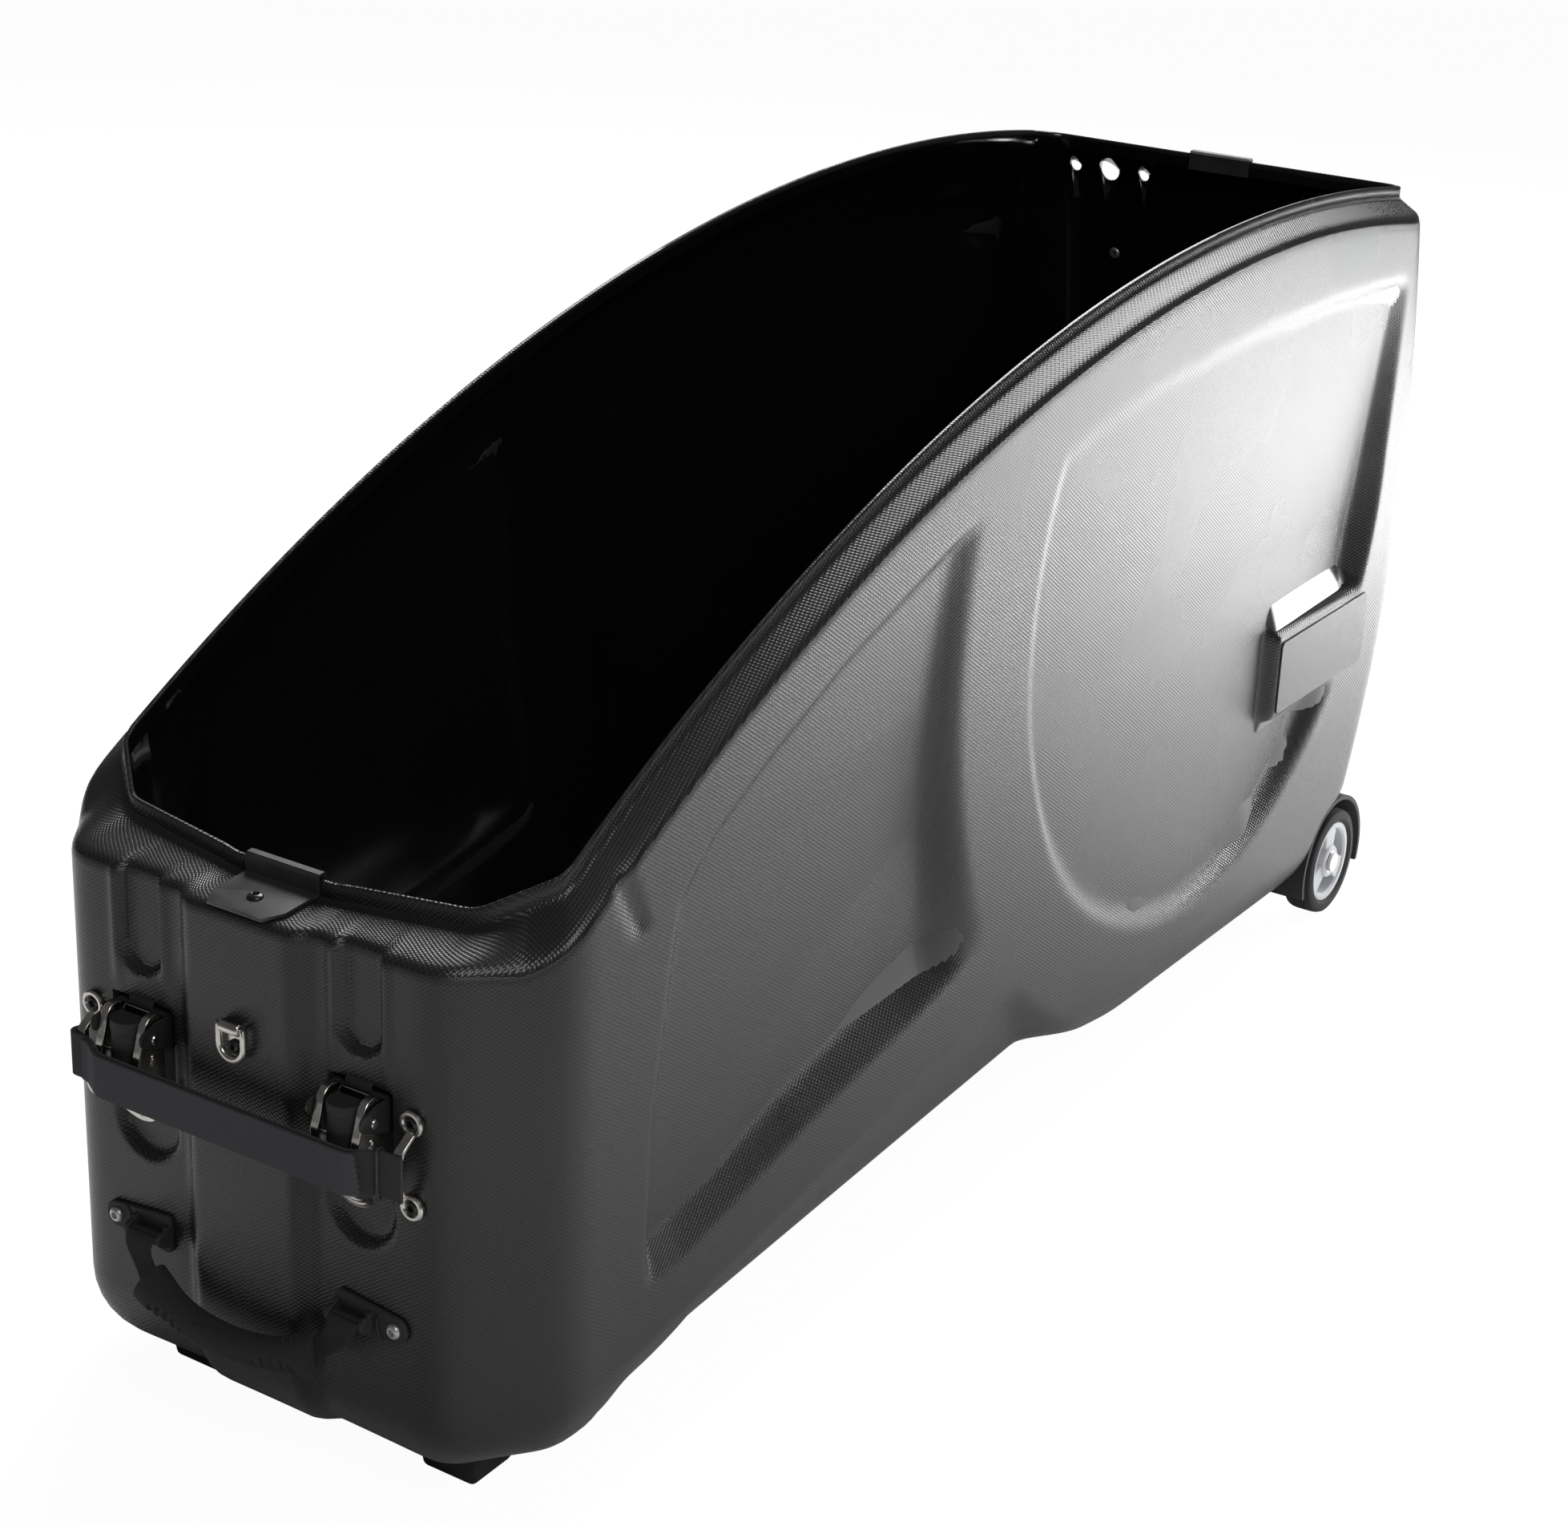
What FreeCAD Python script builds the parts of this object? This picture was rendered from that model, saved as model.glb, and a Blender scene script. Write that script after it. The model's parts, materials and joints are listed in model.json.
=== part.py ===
import FreeCAD, Part
import math
import os
from FreeCAD import Vector

# The open lower half of a hard-shell travel case, millimetres, +Z up.
# Lengths along X are measured from the front wall and moved to the middle of the case at the end.

# Case shell
half_width = 203.0
wall = 3.0
front_corner_y = 150.0
front_corner_length = 66.0
bevel_shift = 0.45
rear_corner = 32.0
band_half_width = 42.0
band_step = 12.0
band_proud = 10.0
rear_bulge_x = 1352.0
rear_bulge_z = 400.0
rear_top_setback = 30.0
rear_top_z = 650.0
rear_low_setback = 56.0
rear_low_z = 124.0
rear_floor_setback = 130.0
front_floor = 28.0
middle_floor = 66.0
rear_floor = 46.0
edge_round = 60.0
front_floor_end = 150.0
middle_floor_start = 190.0
middle_floor_end = 740.0
rear_floor_start = 840.0

# Rim: an arc seen from the side, a sloping shoulder and an upright lip
rim_radius = 1830.0
rim_top_x = 1010.0
rim_top_z = 695.0
lip_height = 10.0
shoulder_drop = 12.0
shoulder_width = 21.0
shelf_front_z = 400.0
lip_wall = 3.5
lip_bevel_shift = 0.4
lip_front_x = 36.0
lip_band_half = 40.0
lip_corner_x = 48.0
lip_corner_y = 142.0
lip_side_x = 83.0
lip_rear_setback = 50.0
lip_rear_corner = 17.0

# Pressed panels of the side walls
ring_x = 940.0
ring_z = 440.0
ring_outer_radius = 424.0
round_panel_radius = 323.0
round_panel_start_depth = 2.0
round_panel_end_depth = 15.0
round_panel_top_left = (650.0, 580.0)
round_panel_top_middle = (960.0, 612.0)
round_panel_top_right = (1273.0, 600.0)
front_panel_depth = 17.0
front_panel_low = (150.0, 146.0)
front_panel_corner = (190.0, 134.0)
front_panel_shoulder = (172.0, 399.0)
front_panel_bend = (192.0, 423.0)
front_panel_apex_z = 575.0
front_panel_end_z = 220.0
keel_start = (100.0, 81.0)
keel_end = (770.0, 186.0)
keel_depth = 34.0
keel_height = 120.0

# Front hardware
latch_y = 90.0
channel_half_width = 17.0
channel_depth = 6.0
channel_low_z = 346.0
scoop_radius = 26.0
scoop_z = 222.0
scoop_depth = 7.0
latch_half_width = 22.0
latch_low_z = 236.0
latch_top_z = 312.0
plate = 2.0
ear_low_z = 283.5
ear_top_z = 305.0
ear_reach = 25.0
guide_reach = 6.0
latch_seat_depth = 8.0
latch_seat_margin = 4.0
pivot_z = 294.0
pivot_x = -12.6
pivot_radius = 2.5
pin_head = 1.5
pin_head_radius = 4.0
lever_half_width = 19.2
lever_tip_z = 226.0
lever_plate_top_z = 262.0
lever_plate = 2.4
lever_face_x = -16.5
lever_foot_x = -6.0
lever_waist_z = 283.5
lever_bend_z = 248.0
lever_eye_radius = 5.5
release_low_z = 264.5
release_top_z = 288.5
release_round = 3.0
release_pin_z = 276.0
release_pin_x = -13.0
release_pin_radius = 1.6
release_reach = 15.6
release_back = 9.0
spring_leaf = 0.8
spring_throw = 2.5
spring_low_z = 248.0
spring_pad_top_z = 260.0
spring_top_z = 284.5
spring_half_width = 5.0
rivet_radius = 2.4
rivet_heights = (256.0, 304.0)

loop_y = 132.0
loop_upper_z = 296.0
loop_lower_z = 238.0
loop_bar_x = -15.0
loop_bar_radius = 3.0
loop_plate = 2.5
loop_eyelet_radius = 8.5
loop_arm_half = 3.0
loop_arm_z = 4.0

strap_width = 31.4
strap_layer = 2.5
strap_end_y = -139.0
strap_tail_y = -98.0
strap_tail_start_y = 124.0
strap_ring_y = -122.0
strap_ring_wire = 1.2

ring_bar_z = 325.0
ring_bar_x = -15.5
ring_half_width = 10.0
ring_leg = 12.0
ring_wire = 2.0
ring_screw_z = 311.0
ring_screw_head_radius = 4.5
ring_clip_half_width = 6.0

handle_z = 146.0
handle_axis_x = -9.5
bracket_inner_y = 70.0
bracket_outer_y = 128.0
bracket_lug = 4.0
bracket_lug_skin = 1.5
bracket_round = 9.8
bracket_lug_y = 98.0
bracket_bar_radius = 3.0
bracket_plate = 3.0
bracket_half_height = 14.0
handle_screw_y = 118.0
handle_tilt = 30.0
webbing_layer = 2.5
webbing_reach = 40.0
webbing_shift = 20.0
grip_radius = 12.5
grip_half_span = 66.0
grip_end_reach = 28.0
grip_middle_reach = 43.0

# Feet, wheels and their liners
foot_x = 52.0
foot_length = 52.0
foot_y = 110.0
foot_half_width = 22.0
foot_draft = 4.0
wheel_setback = 106.0
wheel_inset = 13.0
wheel_radius = 50.0
tyre_width = 28.0
tyre_round = 6.0
hub_radius = 38.0
hub_width = 24.5
hub_rim = 5.0
hub_boss_radius = 17.0
hub_bore_radius = 9.0
spoke_half = 8.0
arch_radius = 60.0
liner = 4.0
liner_low_z = 32.0
well_depth = 43.0
axle_radius = 5.0
axle_shoulder_radius = 8.0
axle_head_radius = 9.0
axle_head = 3.0
bearing_radius = 11.0
bearing_width = 7.0
nut_radius = 9.0
nut_height = 7.0

# Rear wall holes and bolt
hole_z = 640.0
hole_middle_y = 122.0
hole_pitch = 35.5
hole_small_radius = 5.5
hole_large_radius = 10.0
clip_hole_radius = 3.5
rear_bolt_z = 560.0
rear_bolt_y = 118.0

# Rim clips and side plates
clip_half_width = 30.0
clip_sheet = 2.5
clip_screw_x = 10.0
badge_setback = 280.0
badge_low_z = 246.0
badge_size = (186.0, 72.0)
badge_plate = 1.5
badge_edge = 3.0

# Bicycle stand on the case floor
beam_x = 230.0
beam_length = 500.0
beam_half_width = 32.0
beam_height = 22.0
slot_half_width = 7.0
slot_depth = 12.0
fork_x = 290.0
fork_half_length = 20.0
fork_foot_half_width = 18.0
fork_half_spread = 49.0
fork_axis_z = 138.0
fork_head_half = 12.0
skewer_radius = 4.5
skewer_tail = 9.0
skewer_stand = 11.0
skewer_eye_half = 2.0
skewer_eye_radius = 5.5
skewer_nut_length = 8.0
skewer_cheek = 4.0
skewer_cheek_length = 14.0
skewer_cam_radius = 8.0
skewer_arm_inner = 2.0
skewer_arm_outer = 4.0
skewer_arm_start = 11.0
skewer_lever_length = 44.0
cradle_x = 640.0
cradle_half_length = 26.0
cradle_height = 34.0
cradle_cheek = 6.0
cradle_radius = 25.0
cradle_pad = 4.0
beam_bolt_y = 25.5
beam_bolt_inset = 16.0

# Clearances and fasteners
gap = 0.3
running_fit = 0.05
screw_fit = 0.1
weave_fit = 0.4
screw_radius = 2.5
screw_head_radius = 5.5
screw_head = 3.2
screw_dome = 1.9
screw_length = 12.0
screw_tail = 5.0
socket_radius = 2.0
socket_depth = 2.0
hole_reach = 30.0
over = 1.0


rear_top_x = rear_bulge_x - rear_top_setback
rear_low_x = rear_bulge_x - rear_low_setback
rear_floor_end_x = rear_bulge_x - rear_floor_setback
lip_rear_x = rear_bulge_x - lip_rear_setback
badge_low = (rear_bulge_x - badge_setback, badge_low_z)
wheel_x = rear_bulge_x - wheel_setback
wheel_y = half_width - wheel_inset
well_y = half_width - well_depth
inward = Vector(1, 0, 0)
down = Vector(0, 0, -1)


def box(x0, x1, y0, y1, z0, z1):
    """Block between two corners."""
    return Part.makeBox(x1 - x0, y1 - y0, z1 - z0, Vector(x0, y0, z0))


def rod(start, end, radius):
    """Round bar between two points."""
    axis = end.sub(start)
    return Part.makeCylinder(radius, axis.Length, start, axis)


def cross_rod(x, z, y0, y1, radius):
    """Round bar along Y."""
    return Part.makeCylinder(radius, y1 - y0, Vector(x, y0, z), Vector(0, 1, 0))


def outline(start, *steps):
    """Face inside a closed outline; a pair of points is an arc through the first to the second."""
    edges = []
    here = start
    for step in steps + (start,):
        if isinstance(step, tuple):
            edges.append(Part.Arc(here, step[0], step[1]).toShape())
            here = step[1]
        elif here.distanceToPoint(step) > 1e-6:
            edges.append(Part.LineSegment(here, step).toShape())
            here = step
    return Part.Face(Part.Wire(edges))


def side_point(x, z):
    """Point of a side view."""
    return Vector(x, 0, z)


def mirrored(shape):
    """The same shape on the other side of the case."""
    return shape.mirror(Vector(0, 0, 0), Vector(0, 1, 0))


def both_sides(shape):
    """A shape and its mirror image."""
    return [shape, mirrored(shape)]


def joined(shapes):
    """One solid out of several that touch."""
    result = shapes[0].fuse(shapes[1:]) if len(shapes) > 1 else shapes[0]
    return result.removeSplitter()


def rim_z(x, drop=0.0):
    """Height of the rim line, or of a line below it, at a length along the case."""
    radius = rim_radius - drop
    return rim_top_z - rim_radius + math.sqrt(radius ** 2 - (x - rim_top_x) ** 2)


def across(face, y0, y1):
    """A side-view face made solid from one Y to another."""
    moved = face.copy()
    moved.translate(Vector(0, y0, 0))
    return moved.extrude(Vector(0, y1 - y0, 0))


def plan_prism(half, low, high):
    """Upright prism over a symmetric plan, given by the points of one half."""
    right = [Vector(x, y, low) for x, y in half]
    left = [Vector(x, -y, low) for x, y in reversed(half)]
    points = [right[0]]
    for point in right[1:] + left:
        if point.distanceToPoint(points[-1]) > 1e-6:
            points.append(point)
    if points[0].distanceToPoint(points[-1]) < 1e-6:
        points.pop()
    return Part.Face(Part.makePolygon(points + [points[0]])).extrude(Vector(0, 0, high - low))


def wall_plan(inset):
    """Half plan of the case wall: proud front band, bevelled corners, flat sides."""
    side = half_width - inset
    slant = inset * bevel_shift
    return [
        (-band_proud + inset, 0.0),
        (-band_proud + inset, band_half_width - slant),
        (inset, band_half_width + band_step - slant),
        (inset, front_corner_y - slant),
        (front_corner_length + slant, side),
        (rear_bulge_x - rear_corner - slant, side),
        (rear_bulge_x + inset, half_width - rear_corner - inset * (1 + math.sqrt(2))),
        (rear_bulge_x + inset, 0.0),
    ]


def lip_plan(inset):
    """Half plan of the upright lip."""
    side = half_width - shoulder_width - inset
    slant = inset * lip_bevel_shift
    return [
        (lip_front_x + inset, 0.0),
        (lip_front_x + inset, lip_band_half),
        (lip_corner_x + inset, lip_corner_y - slant),
        (lip_side_x + slant, side),
        (lip_rear_x - lip_rear_corner - slant, side),
        (lip_rear_x - inset, half_width - shoulder_width - lip_rear_corner - slant),
        (lip_rear_x - inset, 0.0),
    ]


def side_profile(inset):
    """Side view of the case body up to the foot of the lip."""
    front = -band_proud + inset
    round_x = -band_proud + edge_round
    round_z = front_floor + edge_round
    bend = (edge_round - inset) * math.sqrt(0.5)
    drop = lip_height + inset
    middle = rim_top_x / 2
    return outline(
        side_point(front, round_z),
        (side_point(round_x - bend, round_z - bend), side_point(round_x, front_floor + inset)),
        side_point(front_floor_end, front_floor + inset),
        side_point(middle_floor_start, middle_floor + inset),
        side_point(middle_floor_end, middle_floor + inset),
        side_point(rear_floor_start, rear_floor + inset),
        side_point(rear_floor_end_x, rear_floor + inset),
        side_point(rear_low_x - inset, rear_low_z),
        (side_point(rear_bulge_x - inset, rear_bulge_z), side_point(rear_top_x - inset, rear_top_z)),
        side_point(lip_rear_x, rim_z(lip_rear_x, drop)),
        (side_point(middle, rim_z(middle, drop)), side_point(lip_front_x, rim_z(lip_front_x, drop))),
        side_point(front, shelf_front_z - inset),
    )


def cross_profile(inset):
    """View from the front: upright sides and rounded lower edges."""
    side = half_width - inset
    floor = front_floor + inset
    centre = half_width - edge_round
    bend = (edge_round - inset) * math.sqrt(0.5)
    turn = front_floor + edge_round
    return outline(
        Vector(0, -side, rim_top_z),
        Vector(0, -side, turn),
        (Vector(0, -centre - bend, turn - bend), Vector(0, -centre, floor)),
        Vector(0, centre, floor),
        (Vector(0, centre + bend, turn - bend), Vector(0, side, turn)),
        Vector(0, side, rim_top_z),
    )


def shoulder_cut(inset):
    """What the sloping shoulder takes off one side, turned about the rim's own centre."""
    foot = half_width - shoulder_width
    edge = half_width + over
    slope = shoulder_drop / shoulder_width
    top = rim_radius - lip_height - inset * math.hypot(1.0, slope)
    hub = rim_top_z - rim_radius
    section = outline(
        Vector(rim_top_x, foot, hub + top),
        Vector(rim_top_x, edge, hub + top - slope * (edge - foot)),
        Vector(rim_top_x, edge, hub + top + 2 * lip_height),
        Vector(rim_top_x, foot, hub + top + 2 * lip_height),
    )
    return section.revolve(Vector(rim_top_x, 0, hub), Vector(0, 1, 0), 360)


def case_body(inset):
    """Solid body of the case, with every wall moved in by the inset."""
    length = rear_bulge_x + 2 * band_proud + wall
    body = across(side_profile(inset), -half_width, half_width)
    body = body.common(plan_prism(wall_plan(inset), 0.0, rim_top_z))
    section = cross_profile(inset)
    section.translate(Vector(-2 * band_proud, 0, 0))
    body = body.common(section.extrude(Vector(length + 2 * band_proud, 0, 0)))
    return body.cut(both_sides(shoulder_cut(inset)))


def lip_body(inset, above, below):
    """Upright block under the rim line, in the lip's plan."""
    middle = (lip_front_x + lip_rear_x) / 2
    start = lip_front_x - over
    end = lip_rear_x + over
    band = outline(
        side_point(start, rim_z(start) - below),
        (side_point(middle, rim_z(middle) - below), side_point(end, rim_z(end) - below)),
        side_point(end, rim_z(end) + above),
        (side_point(middle, rim_z(middle) + above), side_point(start, rim_z(start) + above)),
    )
    block = across(band, -half_width, half_width)
    return block.common(plan_prism(lip_plan(inset), 0.0, rim_top_z + 2 * lip_height))


def sloping_pocket(face, x0, depth0, x1, depth1, grow):
    """Hollow pressed into a side wall, deeper from one end to the other."""
    outside = -half_width - over
    wedge = outline(
        Vector(x0, outside, 0),
        Vector(x1, outside, 0),
        Vector(x1, -half_width + depth1 + grow, 0),
        Vector(x0, -half_width + depth0 + grow, 0),
    ).extrude(Vector(0, 0, rim_top_z))
    grown = face.makeOffset2D(grow, 0) if grow else face
    return across(grown, outside, -half_width / 2).common(wedge)


def circle_point(radius, degrees):
    """Point of a circle about the middle of the round panel."""
    turn = math.radians(degrees)
    return side_point(ring_x + radius * math.cos(turn), ring_z + radius * math.sin(turn))


def on_circle(radius, z):
    """Left-hand point of such a circle at a height."""
    return side_point(ring_x - math.sqrt(radius ** 2 - (z - ring_z) ** 2), z)


def round_panel(grow):
    """Large round panel, deepest towards the rear, around the plate's seat."""
    left = on_circle(round_panel_radius, round_panel_top_left[1])
    face = outline(
        left,
        (circle_point(round_panel_radius, 225), circle_point(round_panel_radius, 0)),
        side_point(*round_panel_top_right),
        side_point(*round_panel_top_middle),
    )
    pocket = sloping_pocket(
        face,
        ring_x - round_panel_radius - 2 * wall,
        round_panel_start_depth,
        round_panel_top_right[0] + 2 * wall,
        round_panel_end_depth,
        grow,
    )
    x0, z0 = badge_low
    seat = box(
        x0 + grow,
        x0 + badge_size[0] - grow,
        -half_width - 2 * over,
        0.0,
        z0 + grow,
        z0 + badge_size[1] - grow,
    )
    return pocket.cut(seat)


def front_panel(grow):
    """Three-cornered panel ahead of the ring, deepest beside it."""
    apex = on_circle(ring_outer_radius, front_panel_apex_z)
    low = on_circle(ring_outer_radius, front_panel_end_z)
    face = outline(
        side_point(*front_panel_low),
        side_point(*front_panel_shoulder),
        side_point(*front_panel_bend),
        apex,
        (circle_point(ring_outer_radius, 180), low),
        side_point(*front_panel_corner),
    )
    start = front_panel_low[0] - 2 * wall
    return sloping_pocket(face, start, 0.0, low.x + 2 * wall, front_panel_depth, grow)


def keel_cut(grow):
    """Wedge that leans the lower side wall in, up to the ring."""
    x0, z0 = keel_start
    x1, z1 = keel_end
    outside = -half_width - over
    section = outline(
        Vector(x0, outside, z0 + grow),
        Vector(x0, -half_width + grow, z0 + grow),
        Vector(x0, -half_width + keel_depth + grow, z0 - keel_height),
        Vector(x0, outside, z0 - keel_height),
    )
    wedge = section.extrude(Vector(x1 - x0, 0, z1 - z0))
    return wedge.cut(cross_rod(ring_x, ring_z, -half_width - 2 * over, 0.0, ring_outer_radius - grow))


def channel(grow):
    """Upright groove of the front wall above a latch."""
    half = channel_half_width + grow
    depth = channel_depth + grow
    slot = box(-over, depth, latch_y - half, latch_y + half, channel_low_z, shelf_front_z + 2 * lip_height)
    end = Part.makeCylinder(half, depth + over, Vector(-over, latch_y, channel_low_z), inward)
    return slot.fuse(end)


def latch_seat(grow):
    """Flat hollow of the front wall that a latch base is riveted into."""
    half = latch_half_width + latch_seat_margin + grow
    low = latch_low_z - latch_seat_margin - grow
    high = latch_top_z + latch_seat_margin + grow
    return box(-over, latch_seat_depth + grow, latch_y - half, latch_y + half, low, high)


def scoop(grow):
    """Finger hollow behind the tip of a latch lever."""
    depth = scoop_depth + grow
    return Part.makeCylinder(scoop_radius + grow, depth + over, Vector(-over, latch_y, scoop_z), inward)


def wheel_well(grow):
    """Open corner of the case around a wheel."""
    radius = arch_radius + liner + gap + grow
    inner = well_y - gap - grow
    outer = half_width + 2 * over
    rear = wheel_x + radius + rear_corner
    arch = cross_rod(wheel_x, wheel_radius, inner, outer, radius)
    below = box(wheel_x - radius, rear, inner, outer, -over, wheel_radius)
    behind = box(wheel_x, rear, inner, outer, -over, wheel_radius + radius)
    return arch.fuse([below, behind])


def through_hole(at, axis, radius):
    """Round hole through the wall at a point."""
    start = at.sub(Vector(axis).multiply(hole_reach / 2))
    return Part.makeCylinder(radius, hole_reach, start, axis)


def fastener_hole(at, axis, radius):
    """Through hole for a screw or rivet of a given radius."""
    return through_hole(at, axis, radius + screw_fit)


def screw(at, axis, length, head_radius=screw_head_radius, radius=screw_radius):
    """Round-headed socket screw; its head stands on the point, its shank goes along the axis."""
    shank = Part.makeCylinder(radius, length, at, axis)
    back = Vector(axis).multiply(-1)
    head = Part.makeCylinder(head_radius, screw_head, at, back)
    top = at.add(Vector(back).multiply(screw_head))
    rim = [e for e in head.Edges if e.Curve.TypeId == "Part::GeomCircle"]
    rim = [e for e in rim if e.Curve.Center.distanceToPoint(top) < 1e-3]
    head = head.makeFillet(screw_dome, rim)
    socket = Part.makeCylinder(socket_radius, socket_depth, top, axis)
    return head.fuse(shank).removeSplitter().cut(socket)


inner_floor = middle_floor + wall
beam_top = inner_floor + beam_height
beam_bolt_xs = (beam_x + beam_bolt_inset, beam_x + beam_length - beam_bolt_inset)
beam_bolts = [Vector(x, y, beam_top) for x in beam_bolt_xs for y in (-beam_bolt_y, beam_bolt_y)]
shelf_run = lip_front_x + band_proud
shelf_rise = rim_z(lip_front_x, lip_height) - shelf_front_z
shelf_up = Vector(-shelf_rise, 0, shelf_run).normalize()
clip_screw_z = shelf_front_z + shelf_rise * (clip_screw_x + band_proud) / shelf_run
clip_screw_lift = (2 * gap + clip_sheet) * shelf_up.z + gap
clip_screw_seat = Vector(clip_screw_x, 0, clip_screw_z) + shelf_up * clip_screw_lift
clip_screw_way = shelf_up * -1
ring_screw_seat = Vector(-band_proud - plate, 0, ring_screw_z)
loop_screw_seats = [Vector(-loop_plate, s * loop_y, z) for s in (1, -1) for z in (loop_upper_z, loop_lower_z)]
handle_screw_seats = [Vector(-bracket_plate, s * handle_screw_y, handle_z) for s in (1, -1)]
rivet_seats = [Vector(latch_seat_depth - plate, s * latch_y, z) for s in (1, -1) for z in rivet_heights]
foot_screw_seats = [
    Vector(foot_x + foot_length / 2, s * foot_y, front_floor / 2) for s in (1, -1)
]


def make_shell():
    """Thin case: body, lip and pressed panels, hollow inside, drilled for its fittings."""
    dents = (round_panel, front_panel, keel_cut, channel, latch_seat, scoop, wheel_well)
    outside = case_body(0.0).fuse(lip_body(0.0, 0.0, 2 * lip_height))
    inside = case_body(wall).fuse(lip_body(lip_wall, lip_height, 4 * lip_height))
    for dent in dents:
        outside = outside.cut(both_sides(dent(0.0)))
        inside = inside.cut(both_sides(dent(wall)))
    shell = outside.cut(inside)
    holes = [fastener_hole(at, inward, screw_radius) for at in loop_screw_seats + handle_screw_seats]
    holes += [fastener_hole(at, inward, rivet_radius) for at in rivet_seats]
    holes += [fastener_hole(ring_screw_seat, inward, screw_radius)]
    holes += [fastener_hole(clip_screw_seat, clip_screw_way, screw_radius)]
    holes += [fastener_hole(Vector(at.x, at.y, inner_floor), down, screw_radius) for at in beam_bolts]
    holes += [fastener_hole(Vector(at.x, at.y, front_floor), down, screw_radius) for at in foot_screw_seats]
    for turn, radius in ((-1, hole_small_radius), (0, hole_large_radius), (1, hole_small_radius)):
        at = Vector(rear_top_x, hole_middle_y + turn * hole_pitch, hole_z)
        holes.append(through_hole(at, inward, radius))
    holes.append(through_hole(Vector(rear_top_x, 0, hole_z), inward, clip_hole_radius))
    bolt_at, bolt_axis = rear_bolt_seat()
    holes.append(fastener_hole(bolt_at, bolt_axis, screw_radius))
    for side in (1, -1):
        start = Vector(wheel_x, side * (well_y - 4 * wall), wheel_radius)
        holes.append(rod(start, Vector(wheel_x, side * half_width, wheel_radius), axle_radius + screw_fit))
    return shell.cut(holes).removeSplitter()


def rear_bolt_seat():
    """Point of the bulged rear wall's inner face at the bolt's height, and the way out of the case there."""
    arc = Part.Arc(
        side_point(rear_low_x - wall, rear_low_z),
        side_point(rear_bulge_x - wall, rear_bulge_z),
        side_point(rear_top_x - wall, rear_top_z),
    ).toShape().Curve
    rise = rear_bolt_z - arc.Center.z
    run = math.sqrt(arc.Radius ** 2 - rise ** 2)
    at = Vector(arc.Center.x + run, rear_bolt_y, rear_bolt_z)
    return at, Vector(run / arc.Radius, 0, rise / arc.Radius)


def latch_base(side):
    """Riveted base with two ears and a strap guide at the top."""
    y = side * latch_y
    half = latch_half_width
    seat = latch_seat_depth
    back = box(seat - plate, seat, y - half, y + half, latch_low_z, latch_top_z)
    ears = []
    for edge in (-1, 1):
        y0 = y + edge * (half - plate / 2) - plate / 2
        ears.append(box(-ear_reach, seat, y0, y0 + plate, ear_low_z, ear_top_z))
    guide = box(-guide_reach, seat, y - half / 2, y + half / 2, latch_top_z - plate, latch_top_z)
    body = joined([back, guide] + ears)
    bore = cross_rod(pivot_x, pivot_z, y - 2 * half, y + 2 * half, pivot_radius + running_fit)
    holes = [fastener_hole(at, inward, rivet_radius) for at in rivet_seats if at.y * side > 0]
    return body.cut([bore] + holes)


def latch_pin(side):
    """Pivot pin headed at both ends."""
    y = side * latch_y
    half = latch_half_width + gap
    pin = cross_rod(pivot_x, pivot_z, y - half, y + half, pivot_radius)
    near = cross_rod(pivot_x, pivot_z, y - half - pin_head, y - half, pin_head_radius)
    far = cross_rod(pivot_x, pivot_z, y + half, y + half + pin_head, pin_head_radius)
    return joined([pin, near, far])


def latch_lever(side):
    """Pressed lever: two waisted cheeks on the pivot and a tongue that lies back towards the hollow."""
    y = side * latch_y
    half = lever_half_width
    face = lever_face_x
    back = pivot_x + lever_eye_radius
    cheek = outline(
        side_point(-ear_reach, pivot_z + lever_eye_radius),
        side_point(-ear_reach, pivot_z - lever_eye_radius),
        side_point(face, lever_waist_z),
        side_point(face, lever_bend_z),
        side_point(back, lever_bend_z),
        side_point(back, pivot_z + lever_eye_radius),
    )
    tongue = outline(
        side_point(face, lever_bend_z),
        side_point(lever_foot_x, lever_tip_z),
        side_point(lever_foot_x + lever_plate, lever_tip_z),
        side_point(face + lever_plate, lever_bend_z),
    )
    tip = Part.makeCylinder(half, -2 * face, Vector(2 * face, y, lever_tip_z + half), inward)
    parts = [across(tongue, y - half, y + half).common(tip)]
    parts.append(box(face, face + lever_plate, y - half, y + half, lever_bend_z, lever_plate_top_z))
    for edge in (-1, 1):
        y0 = y + edge * (half - plate / 2) - plate / 2
        parts.append(across(cheek, y0, y0 + plate))
    pivot = cross_rod(pivot_x, pivot_z, y - 2 * half, y + 2 * half, pivot_radius + running_fit)
    pin = cross_rod(release_pin_x, release_pin_z, y - 2 * half, y + 2 * half, release_pin_radius + screw_fit)
    return joined(parts).cut([pivot, pin])


def latch_release(side):
    """Thumb piece between the cheeks, on its own pin."""
    y = side * latch_y
    half = lever_half_width - plate - 2 * gap
    block = box(-release_reach, -release_back, y - half, y + half, release_low_z, release_top_z)
    corners = [e for e in block.Edges if abs(e.Vertexes[0].Z - e.Vertexes[1].Z) > over]
    block = block.makeFillet(release_round, corners)
    return block.cut(
        cross_rod(release_pin_x, release_pin_z, y - 2 * half, y + 2 * half, release_pin_radius + running_fit)
    )


def release_pin(side):
    """Pin of the thumb piece, across the lever's cheeks."""
    y = side * latch_y
    half = lever_half_width
    return cross_rod(release_pin_x, release_pin_z, y - half, y + half, release_pin_radius)


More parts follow.
